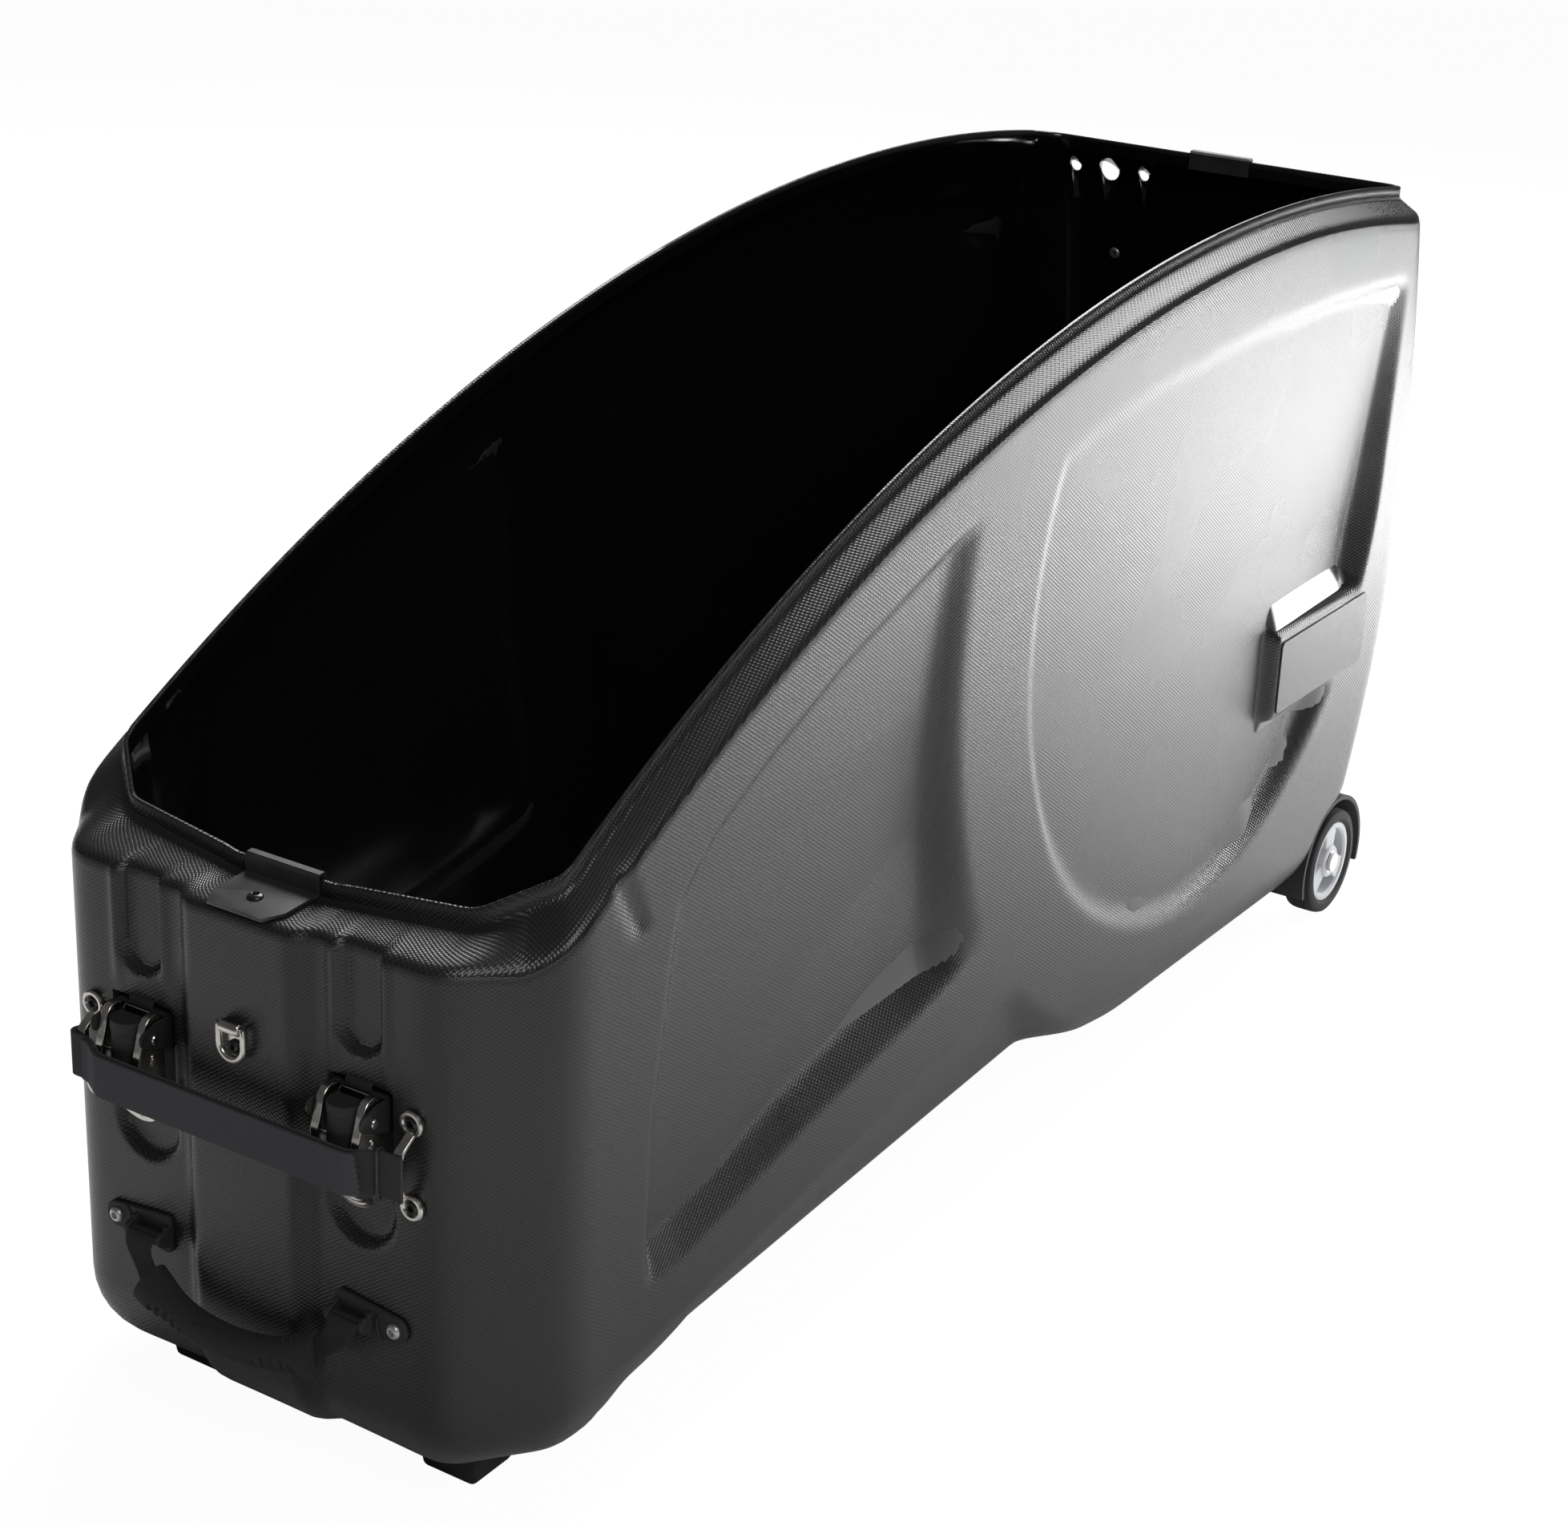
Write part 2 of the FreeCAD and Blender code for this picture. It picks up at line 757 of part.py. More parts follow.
def latch_spring(side):
    """Leaf spring on the back of the lever's tongue, behind the thumb piece."""
    y = side * latch_y
    half = spring_half_width
    root = lever_face_x + lever_plate + gap
    tip = -release_back + spring_throw
    low = spring_low_z
    foot = box(root, tip + spring_leaf, y - half, y + half, low, low + spring_leaf)
    leaf = box(tip, tip + spring_leaf, y - half, y + half, low, spring_top_z)
    pad = box(root, root + spring_leaf, y - half, y + half, low, spring_pad_top_z)
    return joined([foot, leaf, pad])


def rivets():
    """Flat-headed rivets of both latch bases."""
    pieces = []
    for at in rivet_seats:
        head = Part.makeCylinder(2 * rivet_radius, plate, at, Vector(-1, 0, 0))
        shank = Part.makeCylinder(rivet_radius, plate + wall + channel_depth, at, inward)
        pieces.append(head.fuse(shank).removeSplitter())
    return Part.makeCompound(pieces)


def strap_loop(side):
    """Bent metal loop: two eyelets on the wall and a bar standing off it."""
    y = side * loop_y
    parts = []
    bar_low = loop_lower_z + loop_eyelet_radius
    bar_high = loop_upper_z - loop_eyelet_radius
    for z, toward in ((loop_upper_z, -1), (loop_lower_z, 1)):
        parts.append(Part.makeCylinder(loop_eyelet_radius, loop_plate, Vector(0, y, z), Vector(-1, 0, 0)))
        arm_end = z + toward * (loop_eyelet_radius + loop_arm_z)
        low, high = sorted((z + toward * loop_eyelet_radius, arm_end))
        foot_low, foot_high = sorted((z, arm_end))
        foot = box(-loop_plate, 0, y - loop_arm_half, y + loop_arm_half, foot_low, foot_high)
        arm = box(loop_bar_x, 0, y - loop_arm_half, y + loop_arm_half, low, high)
        parts += [foot, arm]
    parts.append(rod(Vector(loop_bar_x, y, bar_low), Vector(loop_bar_x, y, bar_high), loop_bar_radius))
    body = joined(parts)
    return body.cut([fastener_hole(at, inward, screw_radius) for at in loop_screw_seats if at.y * side > 0])


strap_middle_z = (loop_upper_z + loop_lower_z) / 2
strap_eye_radius = loop_bar_radius + weave_fit
strap_face = loop_bar_x - strap_eye_radius


def latch_strap():
    """Hook-and-loop strap: an eye on the left bar, a flat run across both levers and a second layer."""
    low = strap_middle_z - strap_width / 2
    high = strap_middle_z + strap_width / 2
    outer = strap_eye_radius + strap_layer
    eye = Part.makeCylinder(outer, strap_width, Vector(loop_bar_x, loop_y, low))
    front = strap_face - strap_layer
    run = box(front, strap_face, strap_end_y, loop_y, low, high)
    tail = box(front - strap_layer, front, strap_tail_y, strap_tail_start_y, low, high)
    bore = Part.makeCylinder(strap_eye_radius, strap_width, Vector(loop_bar_x, loop_y, low))
    return joined([eye, run, tail]).cut(bore)


def strap_ring():
    """Black wire ring that keeps the strap's end flat."""
    back = strap_face + gap + strap_ring_wire
    front = strap_face - strap_layer - gap - strap_ring_wire
    half = strap_width / 2 + gap + strap_ring_wire
    corners = [
        Vector(back, strap_ring_y, strap_middle_z - half),
        Vector(back, strap_ring_y, strap_middle_z + half),
        Vector(front, strap_ring_y, strap_middle_z + half),
        Vector(front, strap_ring_y, strap_middle_z - half),
    ]
    parts = [Part.makeSphere(strap_ring_wire, corner) for corner in corners]
    for index, corner in enumerate(corners):
        parts.append(rod(corner, corners[(index + 1) % 4], strap_ring_wire))
    return joined(parts)


def d_ring():
    """D-shaped ring on its own bar."""
    x = ring_bar_x
    half = ring_half_width
    low = ring_bar_z - ring_leg
    bar = rod(Vector(x, -half, ring_bar_z), Vector(x, half, ring_bar_z), ring_wire)
    legs = [rod(Vector(x, s * half, ring_bar_z), Vector(x, s * half, low), ring_wire) for s in (1, -1)]
    corners = [Part.makeSphere(ring_wire, Vector(x, s * half, ring_bar_z)) for s in (1, -1)]
    bow = Part.makeTorus(half, ring_wire, Vector(x, 0, low), Vector(1, 0, 0))
    lower = box(x - half, x + half, -2 * half, 2 * half, low - 2 * half, low)
    return joined([bar] + legs + corners + [bow.common(lower)])


def d_ring_clip():
    """Plate that folds round the ring's bar and is screwed to the front band."""
    half = ring_clip_half_width
    barrel = ring_wire + plate
    face = -band_proud
    back = box(face - plate, face, -half, half, ring_screw_z - half, ring_bar_z + barrel)
    fold = cross_rod(ring_bar_x, ring_bar_z, -half, half, barrel)
    web = box(ring_bar_x, face, -half, half, ring_bar_z + barrel - plate, ring_bar_z + barrel)
    bore = cross_rod(ring_bar_x, ring_bar_z, -2 * half, 2 * half, ring_wire + running_fit)
    return joined([back, fold, web]).cut([bore, fastener_hole(ring_screw_seat, inward, screw_radius)])


def handle_bracket(side):
    """Bracket with two lugs and a bar for the webbing, screwed at its outer end."""
    z = handle_z
    half = bracket_half_height
    back = box(-bracket_plate, 0, bracket_inner_y, bracket_outer_y, z - half, z + half)
    ends = [e for e in back.Edges if abs(e.Vertexes[0].X - e.Vertexes[1].X) > over]
    back = back.makeFillet(bracket_round, ends)
    parts = [back]
    reach = handle_axis_x - bracket_bar_radius - bracket_lug_skin
    for y0 in (bracket_inner_y, bracket_lug_y):
        parts.append(box(reach, 0, y0, y0 + bracket_lug, z - half / 2, z + half / 2))
    end = bracket_lug_y + bracket_lug
    parts.append(cross_rod(handle_axis_x, z, bracket_inner_y, end, bracket_bar_radius))
    hole = fastener_hole(Vector(-bracket_plate, handle_screw_y, z), inward, screw_radius)
    bracket = joined(parts).cut(hole)
    return bracket if side > 0 else mirrored(bracket)


def handle_point(y, reach, off=0.0):
    """Point of the handle: along Y, away from its axis, and off the handle's own plane."""
    tilt = math.radians(handle_tilt)
    x = handle_axis_x - reach * math.sin(tilt) - off * math.cos(tilt)
    z = handle_z - reach * math.cos(tilt) + off * math.sin(tilt)
    return Vector(x, y, z)


def webbing():
    """Both ends of the handle's webbing: an eye on the bracket's bar and a run into the grip."""
    inner = bracket_bar_radius + weave_fit
    outer = inner + webbing_layer
    near = bracket_inner_y + bracket_lug + gap
    far = bracket_lug_y - gap
    half = webbing_layer / 2
    clear = math.hypot(bracket_bar_radius + bracket_lug_skin, bracket_half_height / 2) + gap
    eye = cross_rod(handle_axis_x, handle_z, near, far, outer)
    bore = cross_rod(handle_axis_x, handle_z, 0.0, 2 * far, inner)
    run = outline(
        handle_point(near, inner, -half),
        handle_point(far, inner, -half),
        handle_point(far, clear, -half),
        handle_point(far - webbing_shift, webbing_reach, -half),
        handle_point(near - webbing_shift, webbing_reach, -half),
        handle_point(near, clear, -half),
    ).extrude(handle_point(0, 0, half).sub(handle_point(0, 0, -half)))
    end = joined([eye.cut(bore), run])
    return Part.makeCompound(both_sides(end))


def grip():
    """Bowed round grip, fitted over the ends of the webbing."""
    sag = grip_middle_reach - grip_end_reach
    bow = (grip_half_span ** 2 + sag ** 2) / (2 * sag)
    centre = handle_point(0, grip_middle_reach - bow)
    axis = handle_point(0, 0, 1.0).sub(handle_point(0, 0))
    start = handle_point(grip_half_span, grip_end_reach)
    angle = 2 * math.degrees(math.asin(grip_half_span / bow))
    along = axis.cross(start.sub(centre))
    circle = Part.Face(Part.Wire(Part.makeCircle(grip_radius, start, along)))
    turn = -angle if along.y > 0 else angle
    body = circle.revolve(centre, axis, turn)
    return body.cut(webbing())


def rim_clip_front():
    """Folded steel clip over the front lip, lying on the shelf."""
    lip_z = rim_z(lip_front_x)
    foot_z = rim_z(lip_front_x, lip_height)
    slope = shelf_rise / shelf_run
    out = -band_proud
    lift = 2 * gap
    front = lip_front_x - gap
    back = lip_front_x + lip_wall + gap
    top = rim_z(lip_front_x + lip_wall) + gap
    face = outline(
        side_point(back, lip_z - 2 * lip_height),
        side_point(back, top),
        side_point(front, top),
        side_point(front, foot_z + lift),
        side_point(out, shelf_front_z + lift),
        side_point(out, shelf_front_z + lift + clip_sheet),
        side_point(front - clip_sheet, foot_z + lift + clip_sheet - slope * clip_sheet),
        side_point(front - clip_sheet, top + clip_sheet),
        side_point(back + clip_sheet, top + clip_sheet),
        side_point(back + clip_sheet, lip_z - 2 * lip_height),
    )
    clip = across(face, -clip_half_width, clip_half_width)
    return clip.cut(fastener_hole(clip_screw_seat, clip_screw_way, screw_radius))


def rim_clip_rear():
    """Folded steel clip over the rear lip, lying on the rear shoulder."""
    foot_z = rim_z(lip_rear_x, lip_height)
    slope = (foot_z - rear_top_z) / (rear_top_x - lip_rear_x)
    lift = 2 * gap
    front = lip_rear_x - lip_wall - gap
    back = lip_rear_x + gap
    top = rim_z(front) + gap
    face = outline(
        side_point(front, top - 2 * lip_height),
        side_point(front, top),
        side_point(back, top),
        side_point(back, foot_z + lift),
        side_point(rear_top_x, rear_top_z + lift),
        side_point(rear_top_x, rear_top_z + lift + clip_sheet),
        side_point(back + clip_sheet, foot_z + lift + clip_sheet - slope * clip_sheet),
        side_point(back + clip_sheet, top + clip_sheet),
        side_point(front - clip_sheet, top + clip_sheet),
        side_point(front - clip_sheet, top - 2 * lip_height),
    )
    return across(face, -clip_half_width, clip_half_width)


def foot(side):
    """Tapered rubber foot with its screw hole."""
    low = outline(
        Vector(foot_x + foot_draft, foot_y - foot_half_width + foot_draft, 0),
        Vector(foot_x + foot_length - foot_draft, foot_y - foot_half_width + foot_draft, 0),
        Vector(foot_x + foot_length - foot_draft, foot_y + foot_half_width - foot_draft, 0),
        Vector(foot_x + foot_draft, foot_y + foot_half_width - foot_draft, 0),
    )
    high = outline(
        Vector(foot_x, foot_y - foot_half_width, front_floor),
        Vector(foot_x + foot_length, foot_y - foot_half_width, front_floor),
        Vector(foot_x + foot_length, foot_y + foot_half_width, front_floor),
        Vector(foot_x, foot_y + foot_half_width, front_floor),
    )
    block = Part.makeLoft([low.OuterWire, high.OuterWire], True)
    seat = Vector(foot_x + foot_length / 2, foot_y, front_floor / 2)
    sink = Part.makeCylinder(screw_head_radius + gap, front_floor, seat, down)
    shank = Part.makeCylinder(screw_radius + screw_fit, front_floor, seat)
    block = block.cut([sink, shank])
    return block if side > 0 else mirrored(block)


def wheel_liner(side):
    """Moulded arch over a wheel, with a back plate for the axle."""
    outer = arch_radius + liner
    shell = cross_rod(wheel_x, wheel_radius, well_y, half_width, outer)
    hollow = cross_rod(wheel_x, wheel_radius, well_y + liner, half_width + over, arch_radius)
    below = box(wheel_x - outer, wheel_x + outer, well_y, half_width, -outer, liner_low_z)
    bore = cross_rod(wheel_x, wheel_radius, well_y, well_y + liner, axle_radius + screw_fit)
    body = shell.cut([hollow, below, bore])
    return body if side > 0 else mirrored(body)


wheel_inner = wheel_y - hub_width / 2
wheel_outer = wheel_y + hub_width / 2


def wheel_axle(side):
    """Shoulder bolt that carries a wheel."""
    inside = well_y - gap - wall - nut_height - 2 * gap
    end = wheel_outer + gap
    shank = cross_rod(wheel_x, wheel_radius, inside, end, axle_radius)
    shoulder = cross_rod(wheel_x, wheel_radius, well_y + liner, wheel_inner - gap, axle_shoulder_radius)
    head = cross_rod(wheel_x, wheel_radius, end, end + axle_head, axle_head_radius)
    body = joined([shank, shoulder, head])
    return body if side > 0 else mirrored(body)


def axle_nut(side):
    """Hexagon nut inside the case."""
    top = well_y - gap - wall
    corners = []
    for step in range(6):
        turn = math.radians(60 * step)
        corners.append(
            Vector(wheel_x + nut_radius * math.cos(turn), top, wheel_radius + nut_radius * math.sin(turn))
        )
    body = outline(*corners).extrude(Vector(0, -nut_height, 0))
    body = body.cut(cross_rod(wheel_x, wheel_radius, 0.0, half_width, axle_radius + screw_fit))
    return body if side > 0 else mirrored(body)


def wheel_hub(side):
    """Moulded hub with three windows and two bearing seats."""
    hub = cross_rod(wheel_x, wheel_radius, wheel_inner, wheel_outer, hub_radius)
    cuts = [cross_rod(wheel_x, wheel_radius, wheel_inner, wheel_outer, hub_bore_radius)]
    for y0 in (wheel_inner, wheel_outer - bearing_width):
        cuts.append(cross_rod(wheel_x, wheel_radius, y0, y0 + bearing_width, bearing_radius + running_fit))
    window = cross_rod(wheel_x, wheel_radius, wheel_inner, wheel_outer, hub_radius - hub_rim)
    window = window.cut(cross_rod(wheel_x, wheel_radius, wheel_inner, wheel_outer, hub_boss_radius))
    top = wheel_radius + hub_radius
    for step in range(3):
        spoke = box(wheel_x - spoke_half, wheel_x + spoke_half, wheel_inner, wheel_outer, wheel_radius, top)
        spoke.rotate(Vector(wheel_x, 0, wheel_radius), Vector(0, 1, 0), 120 * step)
        window = window.cut(spoke)
    hub = hub.cut(cuts + [window])
    return hub if side > 0 else mirrored(hub)


def wheel_tyre(side):
    """Rounded tyre moulded round the hub."""
    y0 = wheel_y - tyre_width / 2
    y1 = wheel_y + tyre_width / 2
    tyre = cross_rod(wheel_x, wheel_radius, y0, y1, wheel_radius)
    rims = [e for e in tyre.Edges if e.Curve.TypeId == "Part::GeomCircle"]
    tyre = tyre.makeFillet(tyre_round, rims)
    tyre = tyre.cut(cross_rod(wheel_x, wheel_radius, y0 - over, y1 + over, hub_radius + running_fit))
    return tyre if side > 0 else mirrored(tyre)


def wheel_bearings(side):
    """Two ball bearings of a wheel, each as its closed ring."""
    pieces = []
    for start in (wheel_inner, wheel_outer - bearing_width):
        end = start + bearing_width
        ring = cross_rod(wheel_x, wheel_radius, start, end, bearing_radius)
        ring = ring.cut(cross_rod(wheel_x, wheel_radius, start, end, axle_radius + running_fit))
        pieces.append(ring if side > 0 else mirrored(ring))
    return Part.makeCompound(pieces)


def badge(side):
    """Bare plate on the raised seat of the round panel."""
    x0, z0 = badge_low
    edge = badge_edge
    x1 = x0 + badge_size[0]
    z1 = z0 + badge_size[1]
    body = box(x0 + edge, x1 - edge, half_width, half_width + badge_plate, z0 + edge, z1 - edge)
    return body if side > 0 else mirrored(body)


def floor_beam():
    """Slotted rail bolted along the case floor."""
    body = box(beam_x, beam_x + beam_length, -beam_half_width, beam_half_width, inner_floor, beam_top)
    slot = box(
        beam_x, beam_x + beam_length, -slot_half_width, slot_half_width, beam_top - slot_depth, beam_top
    )
    middle = Vector(0, 0, -beam_height / 2)
    holes = [fastener_hole(at.add(middle), down, screw_radius) for at in beam_bolts]
    return body.cut([slot] + holes)


def tongue(x, half_length):
    """Runner of a sliding block in the rail's slot."""
    half = slot_half_width - gap
    return box(x - half_length, x + half_length, -half, half, beam_top - slot_depth + gap, beam_top + gap)


def fork_block():
    """Sliding block with a cross head for the fork ends."""
    base = box(
        fork_x - fork_half_length,
        fork_x + fork_half_length,
        -fork_foot_half_width,
        fork_foot_half_width,
        beam_top + gap,
        fork_axis_z,
    )
    spread = fork_half_spread
    head = cross_rod(fork_x, fork_axis_z, -spread, spread, fork_head_half)
    bore = cross_rod(fork_x, fork_axis_z, -2 * spread, 2 * spread, skewer_radius + running_fit)
    return joined([base, head, tongue(fork_x, fork_half_length)]).cut(bore)


skewer_eye_y = fork_half_spread + skewer_stand


def fork_skewer():
    """Skewer through the cross head, with a flat eye and a cross pin for its lever."""
    rod_end = skewer_eye_y - skewer_radius
    body = cross_rod(fork_x, fork_axis_z, -fork_half_spread - skewer_tail, rod_end, skewer_radius)
    left = Vector(fork_x - skewer_eye_half, skewer_eye_y, fork_axis_z)
    right = Vector(fork_x + skewer_eye_half, skewer_eye_y, fork_axis_z)
    eye = rod(left, right, skewer_eye_radius)
    cheek = Vector(skewer_cheek, 0, 0)
    pin = rod(left.sub(cheek), right.add(cheek), pivot_radius)
    reach = 2 * skewer_radius
    flats = []
    for x0 in (left.x - reach, right.x):
        start = fork_half_spread + over
        flats.append(box(x0, x0 + reach, start, rod_end + over, fork_axis_z - reach, fork_axis_z + reach))
    return joined([body.cut(flats), eye, pin])


def skewer_nut():
    """Round nut on the far end of the skewer."""
    near = -fork_half_spread - gap
    far = -fork_half_spread - skewer_nut_length
    bore = cross_rod(fork_x, fork_axis_z, far - over, near + over, skewer_radius + screw_fit)
    return cross_rod(fork_x, fork_axis_z, far, near, nut_radius).cut(bore)


def skewer_lever():
    """Cam lever that forks round the skewer's eye."""
    y = skewer_eye_y
    inner = skewer_eye_half + gap
    outer = skewer_eye_half + skewer_cheek
    near = y - skewer_arm_inner
    far = y + skewer_arm_outer
    parts = []
    for s in (1, -1):
        low, high = sorted((fork_x + s * inner, fork_x + s * outer))
        cam = rod(Vector(low, y, fork_axis_z), Vector(high, y, fork_axis_z), skewer_cam_radius)
        cheek = box(low, high, near, far, fork_axis_z - skewer_cheek_length, fork_axis_z)
        parts += [cam, cheek]
    tip = fork_axis_z - skewer_lever_length
    parts.append(box(fork_x - outer, fork_x + outer, near, far, tip, fork_axis_z - skewer_arm_start))
    reach = 2 * outer
    start = Vector(fork_x - reach, y, fork_axis_z)
    bore = rod(start, Vector(fork_x + reach, y, fork_axis_z), pivot_radius + running_fit)
    return joined(parts).cut(bore)


def cradle_block():
    """Sliding block with a round seat for the frame's bracket shell."""
    half = cradle_half_length
    seat_z = beam_top + gap + cradle_height
    outer = half + cradle_cheek
    foot = fork_foot_half_width
    body = box(cradle_x - outer, cradle_x + outer, -foot, foot, beam_top + gap, seat_z)
    groove = cross_rod(cradle_x, seat_z, -beam_half_width, beam_half_width, cradle_radius)
    return joined([body, tongue(cradle_x, half)]).cut(groove)


def cradle_liner():
    """Rubber half-round pad in the cradle's seat."""
    seat_z = beam_top + gap + cradle_height
    half = fork_foot_half_width
    radius = cradle_radius
    ring = cross_rod(cradle_x, seat_z, -half, half, radius)
    ring = ring.cut(cross_rod(cradle_x, seat_z, -half, half, radius - cradle_pad))
    return ring.common(box(cradle_x - radius, cradle_x + radius, -half, half, beam_top, seat_z))


def all_nodes():
    """Every named piece of the case, in the front wall's frame."""
    nodes = {"case_shell": make_shell()}
    nodes["front_feet"] = Part.makeCompound([foot(1), foot(-1)])
    nodes["foot_screws"] = Part.makeCompound(
        [screw(at, Vector(0, 0, 1), front_floor / 2 + wall + screw_tail) for at in foot_screw_seats]
    )
    for name, side in (("left", 1), ("right", -1)):
        nodes["wheel_liner_" + name] = wheel_liner(side)
        nodes["wheel_axle_" + name] = wheel_axle(side)
        nodes["axle_nut_" + name] = axle_nut(side)
        nodes["wheel_hub_" + name] = wheel_hub(side)
        nodes["wheel_tyre_" + name] = wheel_tyre(side)
        nodes["wheel_bearings_" + name] = wheel_bearings(side)
        nodes["latch_base_" + name] = latch_base(side)
        nodes["latch_pin_" + name] = latch_pin(side)
        nodes["latch_lever_" + name] = latch_lever(side)
        nodes["latch_release_" + name] = latch_release(side)
        nodes["release_pin_" + name] = release_pin(side)
        nodes["latch_spring_" + name] = latch_spring(side)
        nodes["strap_loop_" + name] = strap_loop(side)
        nodes["handle_bracket_" + name] = handle_bracket(side)
        nodes["side_badge_" + name] = badge(side)
    nodes["latch_rivets"] = rivets()
    loop_screws = [screw(at, inward, screw_length) for at in loop_screw_seats]
    nodes["strap_loop_screws"] = Part.makeCompound(loop_screws)
    nodes["latch_strap"] = latch_strap()
    nodes["strap_ring"] = strap_ring()
    nodes["d_ring"] = d_ring()
    nodes["d_ring_clip"] = d_ring_clip()
    nodes["d_ring_screw"] = screw(ring_screw_seat, inward, screw_length, head_radius=ring_screw_head_radius)
    nodes["handle_grip"] = grip()
    nodes["handle_webbing"] = webbing()
    nodes["handle_screws"] = Part.makeCompound([screw(at, inward, screw_length) for at in handle_screw_seats])
    nodes["front_rim_clip"] = rim_clip_front()
    nodes["rear_rim_clip"] = rim_clip_rear()
    nodes["rim_clip_screw"] = screw(clip_screw_seat, clip_screw_way, screw_length)
    bolt_at, bolt_axis = rear_bolt_seat()
    nodes["rear_wall_bolt"] = screw(bolt_at.sub(Vector(bolt_axis).multiply(gap)), bolt_axis, screw_length)
    nodes["floor_beam"] = floor_beam()
    nodes["beam_bolts"] = Part.makeCompound(
        [screw(at, down, beam_height + wall + screw_tail) for at in beam_bolts]
    )
    nodes["fork_block"] = fork_block()
    nodes["fork_skewer"] = fork_skewer()
    nodes["skewer_nut"] = skewer_nut()
    nodes["skewer_lever"] = skewer_lever()
    nodes["cradle_block"] = cradle_block()
    nodes["cradle_pad"] = cradle_liner()
    return nodes


def main():
    """Build every piece, centre the case on its own length and write the files."""
    os.makedirs("parts", exist_ok=True)
    nodes = all_nodes()
    lows = [shape.BoundBox.XMin for shape in nodes.values()]
    highs = [shape.BoundBox.XMax for shape in nodes.values()]
    middle = round((min(lows) + max(highs)) / 2, 3)
    print("front wall at x =", -middle)
    for name, shape in nodes.items():
        shape.translate(Vector(-middle, 0, 0))
        solids = len(shape.Solids)
        print(name, solids, shape.isValid(), round(shape.Volume / 1000.0, 2))
        shape.exportStep(os.path.join("parts", name + ".step"))


main()
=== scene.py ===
"""Looks of the open half of a hard-shell bicycle travel case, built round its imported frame."""

import json
import logging
import math
from dataclasses import dataclass
from enum import Enum
from typing import Callable, Sequence

import bpy
import numpy as np
from mathutils import Matrix, Vector


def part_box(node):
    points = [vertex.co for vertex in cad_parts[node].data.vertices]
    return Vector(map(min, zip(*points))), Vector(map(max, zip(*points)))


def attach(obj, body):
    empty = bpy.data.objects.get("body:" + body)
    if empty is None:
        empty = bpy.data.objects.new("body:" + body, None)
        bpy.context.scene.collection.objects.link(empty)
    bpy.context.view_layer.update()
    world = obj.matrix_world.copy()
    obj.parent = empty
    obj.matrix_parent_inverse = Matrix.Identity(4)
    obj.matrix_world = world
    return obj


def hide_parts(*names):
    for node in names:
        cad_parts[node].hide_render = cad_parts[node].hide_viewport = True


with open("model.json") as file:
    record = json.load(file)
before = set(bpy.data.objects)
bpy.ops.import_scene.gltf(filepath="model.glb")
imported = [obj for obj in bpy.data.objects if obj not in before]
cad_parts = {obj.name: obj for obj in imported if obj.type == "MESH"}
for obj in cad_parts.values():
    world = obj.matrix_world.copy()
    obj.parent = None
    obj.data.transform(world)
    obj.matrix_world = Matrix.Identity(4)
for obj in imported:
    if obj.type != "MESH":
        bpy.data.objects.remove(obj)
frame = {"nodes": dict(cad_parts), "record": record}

LOG = logging.getLogger("travel_case")
MM = 0.001
BAND_PROUD = 10.0
FRONT_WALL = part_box("case_shell")[0].x + BAND_PROUD * MM

Pair = tuple[float, float]
Triple = tuple[float, float, float]
Line = tuple[Pair, ...]
Piece = bpy.types.Object
Socket = bpy.types.NodeSocket
Points = tuple[np.ndarray, ...]
Grid = Callable[[np.ndarray, np.ndarray], Points]

OUT_OF_FRONT: Triple = (-1.0, 0.0, 0.0)
ALONG_CASE: Triple = (1.0, 0.0, 0.0)
ACROSS_CASE: Triple = (0.0, 1.0, 0.0)
UPWARDS: Triple = (0.0, 0.0, 1.0)


class Side(Enum):
    """Side of the case, seen from its latch end towards its wheels."""

    LEFT = 1
    RIGHT = -1

    @property
    def word(self) -> str:
        """The side's name in the frame's node names."""
        return self.name.lower()


class Facing(Enum):
    """Plane of a flat outline: its two axes and the axis that it is thickened along."""

    FRONT = ((0, -1, 0), (0, 0, 1), (1, 0, 0))
    SIDE = ((1, 0, 0), (0, 0, 1), (0, 1, 0))
    TOP = ((1, 0, 0), (0, 1, 0), (0, 0, 1))


def place(x: float, y: float, z: float) -> Vector:
    """Point of the frame, in metres, from case millimetres measured from the front wall."""
    return Vector((FRONT_WALL + x * MM, y * MM, z * MM))


def smooth(value: np.ndarray) -> np.ndarray:
    """Smooth step of a value from 0 to 1."""
    share = np.clip(value, 0.0, 1.0)
    return share * share * (3.0 - 2.0 * share)


def rise(value: np.ndarray, start: float, width: float) -> np.ndarray:
    """Smooth step up that begins at a start and takes a width."""
    return smooth((value - start) / width)


def fall(value: np.ndarray, end: float, width: float) -> np.ndarray:
    """Smooth step down that takes a width and is over at an end."""
    return smooth((end - value) / width)


def ramp(value: np.ndarray, width: float) -> np.ndarray:
    """Straight slope from 0 to 1 over a width."""
    return np.clip(value / width, 0.0, 1.0)


def on_line(line: Line, at: np.ndarray) -> np.ndarray:
    """Second value of a bent line of pairs where its first one is given."""
    return np.interp(at, *zip(*line))


def arc(middle: Pair, radius: float, start: float, end: float, count: int = 12) -> list[Pair]:
    """Points of a circle's arc, with its angles in degrees."""
    turns = [math.radians(t) for t in np.linspace(start, end, count)]
    return [(middle[0] + radius * math.cos(t), middle[1] + radius * math.sin(t)) for t in turns]


